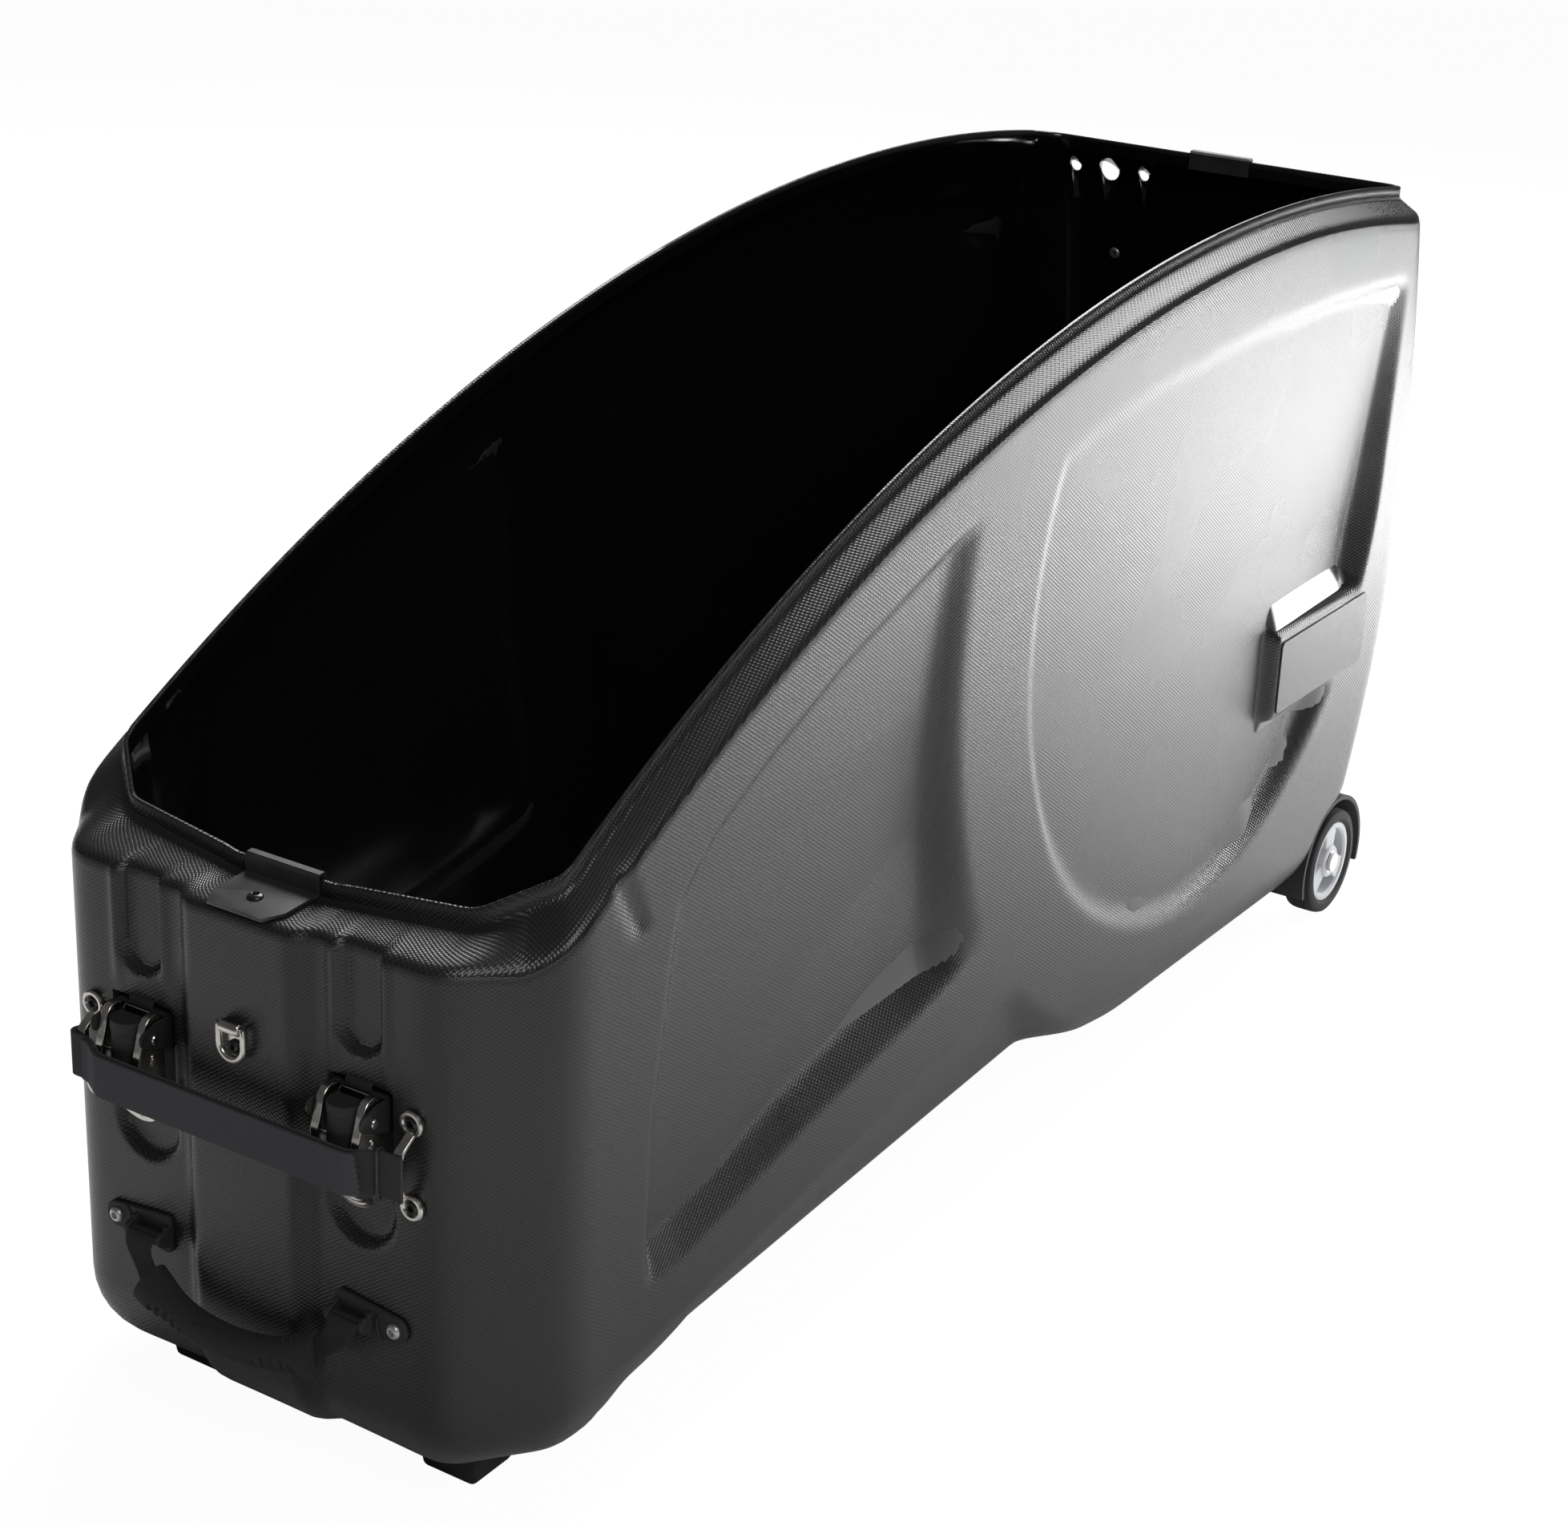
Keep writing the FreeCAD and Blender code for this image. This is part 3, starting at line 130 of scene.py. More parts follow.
def rounded_box(low: Pair, high: Pair, corner: float, count: int) -> list[Pair]:
    """Outline of a rectangle with rounded corners.

    Args:
        low: Its lowest corner.
        high: Its highest corner.
        corner: Radius of the corners.
        count: Points on each corner.

    Returns:
        The closed outline.
    """
    left, right = low[0] + corner, high[0] - corner
    base, top = low[1] + corner, high[1] - corner
    outline = []
    for quarter, middle in enumerate(((right, top), (left, top), (left, base), (right, base))):
        outline += arc(middle, corner, 90 * quarter, 90 * quarter + 90, count)
    return outline


def normals_of(line: np.ndarray) -> tuple[np.ndarray, np.ndarray]:
    """Unit directions along a line of points and square to it.

    Args:
        line: The points, one in each row.

    Returns:
        The way along and the way to the left at each point.
    """
    way = np.gradient(line, axis=0)
    way /= np.linalg.norm(way, axis=1)[:, None]
    return way, np.stack([-way[:, 1], way[:, 0]], axis=1)


def thick_line(path: Sequence[Pair], thickness: float) -> list[Pair]:
    """Outline of a bent strip about its middle line.

    Args:
        path: Points of the middle line.
        thickness: Thickness of the strip.

    Returns:
        The strip's closed outline.
    """
    line = np.array(path, dtype=float)
    off = normals_of(line)[1] * thickness / 2
    return [tuple(p) for p in line + off] + [tuple(p) for p in (line - off)[::-1]]


class Bench:
    """Modelling steps shared by the pieces, each done with Blender's own operators."""

    @staticmethod
    def clear() -> None:
        """Deselect everything."""
        if bpy.context.object and bpy.context.object.mode != "OBJECT":
            bpy.ops.object.mode_set(mode="OBJECT")
        bpy.ops.object.select_all(action="DESELECT")

    @staticmethod
    def pick(obj: Piece) -> None:
        """Select one object and make it active.

        Args:
            obj: The object.
        """
        Bench.clear()
        obj.select_set(True)
        bpy.context.view_layer.objects.active = obj

    @staticmethod
    def apply(obj: Piece, kind: str, **settings: object) -> None:
        """Add a modifier to an object and apply it.

        Args:
            obj: The object to change.
            kind: Blender's modifier type.
            settings: Values set on the modifier.
        """
        Bench.pick(obj)
        modifier = obj.modifiers.new(kind.lower(), kind)
        for key, value in settings.items():
            setattr(modifier, key, value)
        bpy.ops.object.modifier_apply(modifier=modifier.name)

    @staticmethod
    def tidy(obj: Piece, angle: float = 35.0, merge: float = 1e-6) -> Piece:
        """Merge doubles, point faces outwards, shade by angle and put the place into the mesh.

        Args:
            obj: The object to finish.
            angle: Edges sharper than this many degrees stay crisp.
            merge: Points nearer than this, in metres, become one.

        Returns:
            The same object.
        """
        Bench.pick(obj)
        bpy.ops.object.transform_apply(location=True, rotation=True, scale=True)
        bpy.ops.object.mode_set(mode="EDIT")
        bpy.ops.mesh.select_all(action="SELECT")
        bpy.ops.mesh.remove_doubles(threshold=merge)
        bpy.ops.mesh.delete_loose(use_faces=False)
        bpy.ops.mesh.select_all(action="SELECT")
        bpy.ops.mesh.normals_make_consistent(inside=False)
        bpy.ops.object.mode_set(mode="OBJECT")
        bpy.ops.object.shade_smooth_by_angle(angle=math.radians(angle))
        return obj

    @staticmethod
    def soften(obj: Piece, width: float, segments: int = 3, angle: float = 35.0) -> Piece:
        """Round the sharp edges of a piece.

        Args:
            obj: The piece.
            width: Bevel width in millimetres.
            segments: Steps across each bevel.
            angle: Edges sharper than this many degrees are rounded.

        Returns:
            The same piece.
        """
        Bench.apply(
            obj, "BEVEL", width=width * MM, segments=segments, limit_method="ANGLE",
            angle_limit=math.radians(angle), harden_normals=False,
        )
        return obj

    @staticmethod
    def slab(name: str, outline: Sequence[Pair], facing: Facing, start: float, depth: float) -> Piece:
        """A flat outline made thick.

        Args:
            name: Name of the new object.
            outline: Corners in millimetres along the plane's two axes.
            facing: Plane of the outline.
            start: Place of the outline along the plane's third axis, in millimetres.
            depth: Thickness along that axis.

        Returns:
            The new object, closed, with its place in its mesh.
        """
        across, up, out = (Vector(axis) for axis in facing.value)
        Bench.clear()
        bpy.ops.mesh.primitive_circle_add(vertices=len(outline), radius=1.0, fill_type="NGON")
        obj = bpy.context.object
        obj.name = name
        for vertex, (a, b) in zip(obj.data.vertices, outline):
            vertex.co = place(*(across * a + up * b + out * start))
        bpy.ops.object.mode_set(mode="EDIT")
        bpy.ops.mesh.select_all(action="SELECT")
        bpy.ops.mesh.extrude_region_move(TRANSFORM_OT_translate={"value": out * depth * MM})
        bpy.ops.object.mode_set(mode="OBJECT")
        return Bench.tidy(obj)

    @staticmethod
    def wire(
            name: str, path: Sequence[Triple], radius: float, closed: bool = False, sides: int = 4,
    ) -> Piece:
        """A round bar along a path.

        Args:
            name: Name of the new object.
            path: Points in case millimetres.
            radius: Radius of the bar in millimetres.
            closed: Whether the path is a ring.
            sides: Bevel resolution of the round section.

        Returns:
            The bar as a mesh.
        """
        curve = bpy.data.curves.new(name, "CURVE")
        curve.dimensions = "3D"
        curve.bevel_depth = radius * MM
        curve.bevel_resolution = sides
        curve.use_fill_caps = True
        spline = curve.splines.new("POLY")
        spline.points.add(len(path) - 1)
        for point, spot in zip(spline.points, path):
            point.co = (*place(*spot), 1.0)
        spline.use_cyclic_u = closed
        obj = bpy.data.objects.new(name, curve)
        bpy.context.scene.collection.objects.link(obj)
        Bench.pick(obj)
        bpy.ops.object.convert(target="MESH")
        return Bench.tidy(bpy.context.object)

    @staticmethod
    def turned(name: str, profile: Sequence[Pair], at: Triple, axis: Triple, steps: int = 40) -> Piece:
        """A profile turned round an axis.

        Args:
            name: Name of the new object.
            profile: Radius and height pairs in millimetres, from one end of the axis to the other.
            at: Foot of the axis in case millimetres.
            axis: Direction of the axis.
            steps: Faces round the axis.

        Returns:
            The turned piece.
        """
        Bench.clear()
        bpy.ops.mesh.primitive_circle_add(vertices=len(profile), radius=1.0, fill_type="NOTHING")
        obj = bpy.context.object
        obj.name = name
        along = Vector(axis).normalized()
        across = along.orthogonal().normalized()
        foot = place(*at)
        for vertex, (radius, height) in zip(obj.data.vertices, profile):
            vertex.co = foot + across * radius * MM + along * height * MM
        bpy.ops.object.mode_set(mode="EDIT")
        bpy.ops.mesh.select_all(action="SELECT")
        bpy.ops.mesh.spin(steps=steps, angle=math.tau, center=foot, axis=along)
        bpy.ops.object.mode_set(mode="OBJECT")
        return Bench.tidy(obj, merge=2e-6)

    @staticmethod
    def joined(name: str, pieces: Sequence[Piece]) -> Piece:
        """Several meshes as one object.

        Args:
            name: Name of the object.
            pieces: The meshes, which are used up.

        Returns:
            The object.
        """
        Bench.pick(pieces[0])
        for piece in pieces:
            piece.select_set(True)
        bpy.ops.object.join()
        bpy.context.object.name = name
        return bpy.context.object

    @staticmethod
    def cut(obj: Piece, tool: Piece) -> None:
        """Cut one mesh with another, which is used up."""
        Bench.apply(obj, "BOOLEAN", object=tool, operation="DIFFERENCE", solver="EXACT")
        bpy.data.objects.remove(tool)

    @staticmethod
    def copied(obj: Piece, name: str, across: float = 0.0, mirror: bool = False) -> Piece:
        """A copy of a piece with its own mesh, moved or mirrored across the case.

        Args:
            obj: The piece to copy.
            name: Name of the copy.
            across: Shift along Y in millimetres.
            mirror: Whether the copy is the piece's mirror image in Y.

        Returns:
            The copy.
        """
        twin = obj.copy()
        twin.data = obj.data.copy()
        twin.name = name
        bpy.context.scene.collection.objects.link(twin)
        if mirror:
            twin.data.transform(Matrix.Scale(-1.0, 4, ACROSS_CASE))
            twin.data.flip_normals()
        twin.data.transform(Matrix.Translation(Vector(ACROSS_CASE) * across * MM))
        return twin

    @staticmethod
    def surface(name: str, columns: int, rows: int, shape: Grid) -> Piece:
        """A grid pulled into a surface.

        Args:
            name: Name of the new object.
            columns: Faces along the first direction.
            rows: Faces along the second direction.
            shape: Gives X, Y, Z in case millimetres and two pattern lengths, from column and row numbers.

        Returns:
            The new object, with the pattern lengths in metres in its UV map.
        """
        Bench.clear()
        bpy.ops.mesh.primitive_grid_add(x_subdivisions=columns, y_subdivisions=rows, size=1.0)
        obj = bpy.context.object
        obj.name = name
        mesh = obj.data
        flat = np.empty(len(mesh.vertices) * 3)
        mesh.vertices.foreach_get("co", flat)
        flat = flat.reshape(-1, 3)
        column = np.rint((flat[:, 0] + 0.5) * columns).astype(int)
        row = np.rint((flat[:, 1] + 0.5) * rows).astype(int)
        x, y, z, along, up = shape(column, row)
        spots = np.stack([FRONT_WALL + x * MM, y * MM, z * MM], axis=1)
        mesh.vertices.foreach_set("co", spots.ravel())
        corner = np.empty(len(mesh.loops), dtype=int)
        mesh.loops.foreach_get("vertex_index", corner)
        pattern = np.stack([along, up], axis=1)[corner] * MM
        mesh.uv_layers.active.data.foreach_set("uv", pattern.ravel())
        mesh.update()
        return obj


class NodeSheet:
    """A material's node tree, with short calls for the nodes that the finishes use."""

    def __init__(self, name: str) -> None:
        """Start a material with its one shader.

        Args:
            name: Name of the material.
        """
        self.material = bpy.data.materials.new(name)
        self.material.use_nodes = True
        self.tree = self.material.node_tree
        self.shader = self.tree.nodes["Principled BSDF"]

    def feed(self, socket: Socket, value: object) -> None:
        """Link an output to an input, or set the input's own value.

        Args:
            socket: The input.
            value: An output, or a plain value.
        """
        if isinstance(value, Socket):
            self.tree.links.new(value, socket)
        else:
            socket.default_value = value

    def node(
            self, kind: str, inputs: dict[str | int, object] | None = None, **settings: object,
    ) -> bpy.types.Node:
        """Add a node.

        Args:
            kind: Blender's node type.
            inputs: Values or outputs for its inputs, by name or number.
            settings: Options set on the node.

        Returns:
            The node.
        """
        made = self.tree.nodes.new(kind)
        for key, value in settings.items():
            setattr(made, key, value)
        for key, value in (inputs or {}).items():
            self.feed(made.inputs[key], value)
        return made

    def set(self, **values: object) -> bpy.types.Material:
        """Set the shader's inputs.

        Args:
            values: Values or outputs by input name, with underscores for spaces.

        Returns:
            The material.
        """
        for key, value in values.items():
            self.feed(self.shader.inputs[key.replace("_", " ")], value)
        return self.material

    def object_place(self) -> Socket:
        """Object coordinates in metres."""
        return self.node("ShaderNodeTexCoord").outputs["Object"]

    def pattern_place(self) -> tuple[Socket, Socket]:
        """The two lengths of the piece's own UV map, in metres."""
        split = self.node("ShaderNodeSeparateXYZ", {0: self.node("ShaderNodeTexCoord").outputs["UV"]})
        return split.outputs[0], split.outputs[1]

    def math(self, operation: str, first: object, second: object = 0.0) -> Socket:
        """One step of arithmetic."""
        return self.node("ShaderNodeMath", {0: first, 1: second}, operation=operation).outputs[0]

    def mixed(self, first: object, second: object, share: float) -> Socket:
        """Two values added, the first by its share and the second by the rest."""
        parts = self.math("MULTIPLY", first, share), self.math("MULTIPLY", second, 1.0 - share)
        return self.math("ADD", *parts)

    def stretched(self, scale: Triple) -> Socket:
        """Object coordinates with each axis scaled by itself."""
        return self.node("ShaderNodeMapping", {"Vector": self.object_place(), "Scale": scale}).outputs[0]

    def noise(self, scale: float, detail: float = 3.0, where: Socket | None = None) -> Socket:
        """Cloudy noise from 0 to 1."""
        inputs = {"Vector": where or self.object_place(), "Scale": scale, "Detail": detail}
        return self.node("ShaderNodeTexNoise", inputs).outputs[0]

    def cells(self, scale: float) -> Socket:
        """Distance to the nearest of scattered points, as in moulded grain."""
        inputs = {"Vector": self.object_place(), "Scale": scale}
        return self.node("ShaderNodeTexVoronoi", inputs).outputs["Distance"]

    def spread(self, value: object, middle: float, below: float, above: float) -> Socket:
        """A value from 0 to 1 spread from below a middle to above it."""
        inputs = {"Value": value, "To Min": middle - below, "To Max": middle + above}
        return self.node("ShaderNodeMapRange", inputs).outputs[0]

    def tint(
            self, value: object, dark: Triple, light: Triple, start: float = 0.3, end: float = 0.7,
    ) -> Socket:
        """A colour between two tints.

        Args:
            value: Share of the light tint.
            dark: Colour up to the start.
            light: Colour from the end.
            start: Value where the change starts.
            end: Value where it ends.

        Returns:
            The colour.
        """
        made = self.node("ShaderNodeValToRGB", {0: value})
        for stop, position, colour in zip(made.color_ramp.elements, (start, end), (dark, light)):
            stop.position = position
            stop.color = (*colour, 1.0)
        return made.outputs[0]

    def bump(self, height: object, distance: float, strength: float = 1.0) -> Socket:
        """A relief in metres."""
        inputs = {"Height": height, "Distance": distance, "Strength": strength}
        return self.node("ShaderNodeBump", inputs).outputs[0]


@dataclass(frozen=True)
class Finish:
    """What every finish has: a name and two near tints."""

    name: str
    dark: Triple
    light: Triple

    def material(self) -> bpy.types.Material:
        """The finish as a material, made once."""
        return bpy.data.materials.get(self.name) or self.build(NodeSheet(self.name))

    def build(self, sheet: NodeSheet) -> bpy.types.Material:
        """Lay out the finish's nodes."""
        raise NotImplementedError


@dataclass(frozen=True)
class EmbossedSheet(Finish):
    """Vacuum-formed sheet with a pressed pattern of staggered diamonds."""

    cell_width: float = 0.0042
    cell_height: float = 0.0029
    relief: float = 0.00016
    gloss: float = 0.27
    cloud_scale: float = 7.0

    def build(self, sheet: NodeSheet) -> bpy.types.Material:
        """Lay out the diamond relief, painted shade in its grooves and a slight unevenness of gloss.

        Args:
            sheet: The new material's nodes.

        Returns:
            The material.
        """
        along, up = sheet.pattern_place()
        right = sheet.math("MULTIPLY", along, math.pi / self.cell_width)
        upward = sheet.math("MULTIPLY", up, math.pi / self.cell_height)
        lean = sheet.math("SINE", sheet.math("ADD", right, upward))
        back = sheet.math("SINE", sheet.math("SUBTRACT", right, upward))
        raised = sheet.math("ABSOLUTE", sheet.math("MULTIPLY", lean, back))
        cloud = sheet.noise(self.cloud_scale)
        return sheet.set(
            # Colour: lighter on the raised diamonds and darker in the grooves between them, which is painted
            # shade, mixed half and half with a random cloudy tone.
            Base_Color=sheet.tint(sheet.mixed(raised, cloud, 0.5), self.dark, self.light),
            Roughness=sheet.spread(cloud, self.gloss, 0.02, 0.03),
            Normal=sheet.bump(raised, self.relief),
        )


@dataclass(frozen=True)
class GlossySheet(Finish):
    """Smooth inner face of the moulding."""

    gloss: float = 0.14
    flow_scale: float = 14.0
    flow_relief: float = 0.0006
    dust_scale: float = 900.0
    smear_scale: float = 30.0

    def build(self, sheet: NodeSheet) -> bpy.types.Material:
        """Lay out faint flow marks and dust on a dark gloss.

        Args:
            sheet: The new material's nodes.

        Returns:
            The material.
        """
        flow = sheet.noise(self.flow_scale, 2.0)
        dust = sheet.noise(self.dust_scale, 1.0)
        return sheet.set(
            Base_Color=sheet.tint(dust, self.dark, self.light, 0.55, 0.8),
            Roughness=sheet.spread(sheet.noise(self.smear_scale), self.gloss, 0.03, 0.08),
            Normal=sheet.bump(flow, self.flow_relief, 0.3),
        )


@dataclass(frozen=True)
class Moulded(Finish):
    """Plastic or rubber with a fine moulded grain."""

    gloss: float = 0.5
    grain: float = 1400.0
    relief: float = 0.00008
    cloud_scale: float = 60.0

    def build(self, sheet: NodeSheet) -> bpy.types.Material:
        """Lay out the grain and a cloudy change of tint.

        Args:
            sheet: The new material's nodes.

        Returns:
            The material.
        """
        cloud = sheet.noise(self.cloud_scale)
        return sheet.set(
            Base_Color=sheet.tint(cloud, self.dark, self.light),
            Roughness=sheet.spread(cloud, self.gloss, 0.06, 0.08),
            Normal=sheet.bump(sheet.cells(self.grain), self.relief),
        )


@dataclass(frozen=True)
class Plated(Finish):
    """Plated or bare metal with fine drawing marks."""

    gloss: float = 0.22
    marks: Triple = (900.0, 900.0, 90.0)
    mark_relief: float = 0.00004
    cloud_scale: float = 110.0

    def build(self, sheet: NodeSheet) -> bpy.types.Material:
        """Lay out drawing marks and clouded plating.

        Args:
            sheet: The new material's nodes.

        Returns:
            The material.
        """
        drawn = sheet.noise(1.0, 2.0, sheet.stretched(self.marks))
        cloud = sheet.noise(self.cloud_scale)
        return sheet.set(
            Base_Color=sheet.tint(cloud, self.dark, self.light),
            Metallic=1.0,
            Roughness=sheet.spread(drawn, self.gloss, 0.06, 0.1),
            Normal=sheet.bump(drawn, self.mark_relief, 0.6),
        )


@dataclass(frozen=True)
class Painted(Finish):
    """Metal under a thin coat of paint."""

    gloss: float = 0.38
    peel_scale: float = 700.0
    peel_relief: float = 0.00006
    rub_scale: float = 45.0

    def build(self, sheet: NodeSheet) -> bpy.types.Material:
        """Lay out an orange-peel relief and rubbed patches.

        Args:
            sheet: The new material's nodes.

        Returns:
            The material.
        """
        peel = sheet.noise(self.peel_scale, 2.0)
        rubbed = sheet.noise(self.rub_scale, 5.0)
        return sheet.set(
            Base_Color=sheet.tint(rubbed, self.dark, self.light, 0.35, 0.75),
            Roughness=sheet.spread(rubbed, self.gloss, 0.08, 0.08),
            Normal=sheet.bump(peel, self.peel_relief, 0.7),
        )


@dataclass(frozen=True)
class Woven(Finish):
    """Woven band that follows the piece's own lengthwise map."""

    thread: float = 0.0017
    relief: float = 0.0004
    gloss: float = 0.75
    weft_ratio: float = 1.3
    fray_scale: float = 1600.0
    sheen: float = 0.25

    def build(self, sheet: NodeSheet) -> bpy.types.Material:
        """Lay out warp over weft, painted shade where the weave lies low, and frayed tints.

        Args:
            sheet: The new material's nodes.

        Returns:
            The material.
        """
        along, across = sheet.pattern_place()
        warp = sheet.math("SINE", sheet.math("MULTIPLY", along, math.tau / self.thread))
        weft = sheet.math("SINE", sheet.math("MULTIPLY", across, math.tau / (self.weft_ratio * self.thread)))
        height = sheet.math("ADD", sheet.math("MULTIPLY", sheet.math("MULTIPLY", warp, weft), 0.5), 0.5)
        fray = sheet.noise(self.fray_scale, 2.0)
        return sheet.set(
            # Colour: lighter where the threads stand high and darker where the weave lies low, which is
            # painted shade, mixed with a random frayed tone.
            Base_Color=sheet.tint(sheet.mixed(height, fray, 0.6), self.dark, self.light, 0.2, 0.8),
            Roughness=sheet.spread(fray, self.gloss, 0.05, 0.15),
            Normal=sheet.bump(height, self.relief),
            Sheen_Weight=self.sheen,
        )


class Finishes:
    """Finishes of this case."""

    # The outside's two tints are spread partly by its diamond relief: the dark one paints shade in the
    # grooves, the rest is a random cloudy tone.
    OUTSIDE = EmbossedSheet("outside_emboss", (0.014, 0.0138, 0.0136), (0.03, 0.0295, 0.029))
    INSIDE = GlossySheet("inside_gloss", (0.004, 0.004, 0.0045), (0.012, 0.012, 0.013))
    BLACK_PLASTIC = Moulded("black_plastic", (0.011, 0.011, 0.012), (0.022, 0.022, 0.024), 0.34)
    GRIP = Moulded("grip_rubber", (0.02, 0.02, 0.021), (0.036, 0.036, 0.038), 0.36, 900.0)
    FOOT = Moulded("foot_rubber", (0.008, 0.008, 0.008), (0.017, 0.017, 0.018), 0.6)
    TYRE = Moulded("tyre_rubber", (0.008, 0.008, 0.009), (0.018, 0.018, 0.019), 0.58, 700.0)
    HUB = Moulded("hub_plastic", (0.27, 0.275, 0.29), (0.36, 0.365, 0.38), 0.38)
    PAD = Moulded("pad_rubber", (0.012, 0.012, 0.012), (0.022, 0.022, 0.023), 0.65)
    BADGE = Moulded("badge_plate", (0.03, 0.03, 0.032), (0.05, 0.05, 0.053), 0.36)
    NICKEL = Plated("nickel_plate", (0.56, 0.53, 0.49), (0.74, 0.71, 0.67), 0.2)
    STEEL = Plated("screw_steel", (0.5, 0.5, 0.5), (0.68, 0.68, 0.67), 0.26)
    ALUMINIUM = Plated("rail_aluminium", (0.52, 0.53, 0.55), (0.68, 0.69, 0.7), 0.34, (60.0, 900.0, 900.0))
    LATCH_BLACK = Painted("latch_black", (0.009, 0.009, 0.01), (0.02, 0.02, 0.022), 0.3)
    CLIP_PAINT = Painted("clip_paint", (0.028, 0.028, 0.031), (0.05, 0.05, 0.054), 0.4)
    BLACK_STEEL = Painted("black_steel", (0.01, 0.01, 0.011), (0.03, 0.03, 0.032), 0.26)
    # The woven finishes' two tints are spread partly by the weave's height: the dark one paints shade where
    # it lies low, the rest is a random frayed tone.
    STRAP = Woven("strap_weave", (0.03, 0.03, 0.033), (0.06, 0.06, 0.065), 0.0009, 0.00012, 0.62)
    NAP = Woven("strap_nap", (0.006, 0.006, 0.0065), (0.017, 0.017, 0.018), 0.0006, 0.0005, 0.85)
    WEBBING = Woven("webbing", (0.004, 0.004, 0.0045), (0.034, 0.034, 0.036), 0.0024, 0.0008, 0.55)


def dress(obj: Piece, finish: Finish, slot: str, body: str, *nodes: str) -> Piece:
    """Give a finished piece its material, body and CAD nodes.

    Args:
        obj: The piece.
        finish: Its finish, where it has no material yet.
        slot: The record's material slot; not used.
        body: The body that it moves with.
        nodes: The CAD nodes that it stands for.

    Returns:
        The same piece.
    """
    if not obj.data.materials:
        obj.data.materials.append(finish.material())
    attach(obj, body)
    if nodes:
        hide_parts(*nodes)
    LOG.info("%s rides on %s, %d faces", obj.name, body, len(obj.data.polygons))
    return obj


def dress_side(
        side: Side, first: Piece, finish: Finish, slot: str, body: str, node: str, apart: float = 0.0,
) -> None:
    """Set a copy of a piece at one side of the case.

    Args:
        side: The side.
        first: The piece, modelled about Y = 0 where its copies are apart, and otherwise on the left.
        finish: Its finish.
        slot: The record's material slot.
        body: The case, or a side's own body without the side's name.
        node: The CAD node that it stands for, without the side's name.
        apart: Shift of each copy from the middle, or nothing where the right one is a mirror image.
    """
    mirror = side is Side.RIGHT and not apart
    piece = Bench.copied(first, first.name + "_" + side.word, side.value * apart, mirror)
    home = body if body == "case" else body + "_" + side.word
    dress(piece, finish, slot, home, node + "_" + side.word)


def dress_sides(first: Piece, finish: Finish, slot: str, body: str, node: str, apart: float = 0.0) -> None:
    """Set a copy of a piece at each side of the case, in place of the piece itself.

    Args:
        first: The piece, modelled as for one side.
        finish: Its finish.
        slot: The record's material slot.
        body: The case, or a side's own body without the side's name.
        node: The CAD node that it stands for, without the side's name.
        apart: Shift of each copy from the middle, if any.
    """
    for side in Side:
        dress_side(side, first, finish, slot, body, node, apart)
    bpy.data.objects.remove(first)


def socket_screw(name: str, at: Triple, axis: Triple, radius: float, height: float) -> Piece:
    """Domed screw head with a socket.

    Args:
        name: Name of the new object.
        at: Middle of the head's underside, in case millimetres.
        axis: Way out of the seat.
        radius: Head radius.
        height: Head height.

    Returns:
        The head with a short shank.
    """
    socket = 0.44 * radius
    profile = [
        (0.0, -2.0), (0.5 * radius, -2.0), (0.5 * radius, 0.0), (radius, 0.0), (radius, 0.35 * height),
        (0.9 * radius, 0.68 * height), (0.72 * radius, 0.9 * height), (1.15 * socket, height),
        (socket, 0.92 * height), (0.94 * socket, 0.3 * height), (0.0, 0.22 * height),
    ]
    return Bench.turned(name, profile, at, axis, 36)


class PlanLine:
    """Half of a symmetric plan outline, from its front middle to its rear middle."""

    def __init__(self, *points: Pair) -> None:
        """Keep the corners and their running lengths.

        Args:
            points: The corners in order.
        """
        self.points = np.array(points, dtype=float)
        steps = np.linalg.norm(np.diff(self.points, axis=0), axis=1)
        self.marks = np.concatenate([[0.0], np.cumsum(steps)])

    def length(self, station: np.ndarray) -> np.ndarray:
        """Running length at a station, counted in corners."""
        return np.interp(station, np.arange(len(self.marks)), self.marks)

    def spot(self, length: np.ndarray) -> tuple[np.ndarray, np.ndarray]:
        """Point at a running length, mirrored past either end.

        Args:
            length: Running lengths.

        Returns:
            X and Y of each.
        """
        total = self.marks[-1]
        turn = np.abs(length)
        past = turn > total
        flip = np.where(length < 0, -1.0, 1.0) * np.where(past, -1.0, 1.0)
        turn = np.where(past, 2.0 * total - turn, turn)
        x = np.interp(turn, self.marks, self.points[:, 0])
        y = np.interp(turn, self.marks, self.points[:, 1])
        return x, y * flip

    def rounded(self, station: np.ndarray, reach: np.ndarray) -> tuple[np.ndarray, np.ndarray]:
        """Point at a station on the outline with its corners rounded.

        Args:
            station: Stations, counted in corners.
            reach: How far from each corner its rounding starts, in millimetres.

        Returns:
            X and Y of each station.
        """
        length = self.length(station)
        shares = np.linspace(-1.0, 1.0, 25)
        weights = 0.5 + 0.5 * np.cos(math.pi * shares)
        x = np.zeros_like(length)
        y = np.zeros_like(length)
        for share, weight in zip(shares, weights / weights.sum()):
            near_x, near_y = self.spot(length + share * reach)
            x += weight * near_x
            y += weight * near_y
        return x, y


@dataclass
class ShellColumns:
    """Values of each column round the shell: points of its plan lines, heights and shares of its walls."""

    outer_x: np.ndarray
    outer_y: np.ndarray
    core_x: np.ndarray
    core_y: np.ndarray
    lip_x: np.ndarray
    lip_y: np.ndarray
    along: np.ndarray
    floor: np.ndarray
    edge: np.ndarray
    top: np.ndarray
    foot: np.ndarray
    rim: np.ndarray
    middle: np.ndarray
    side: np.ndarray
    front: np.ndarray
    rear: np.ndarray

    @property
    def depth(self) -> np.ndarray:
        """Distance from the outer plan line to the core."""
        return np.hypot(self.core_x - self.outer_x, self.core_y - self.outer_y)


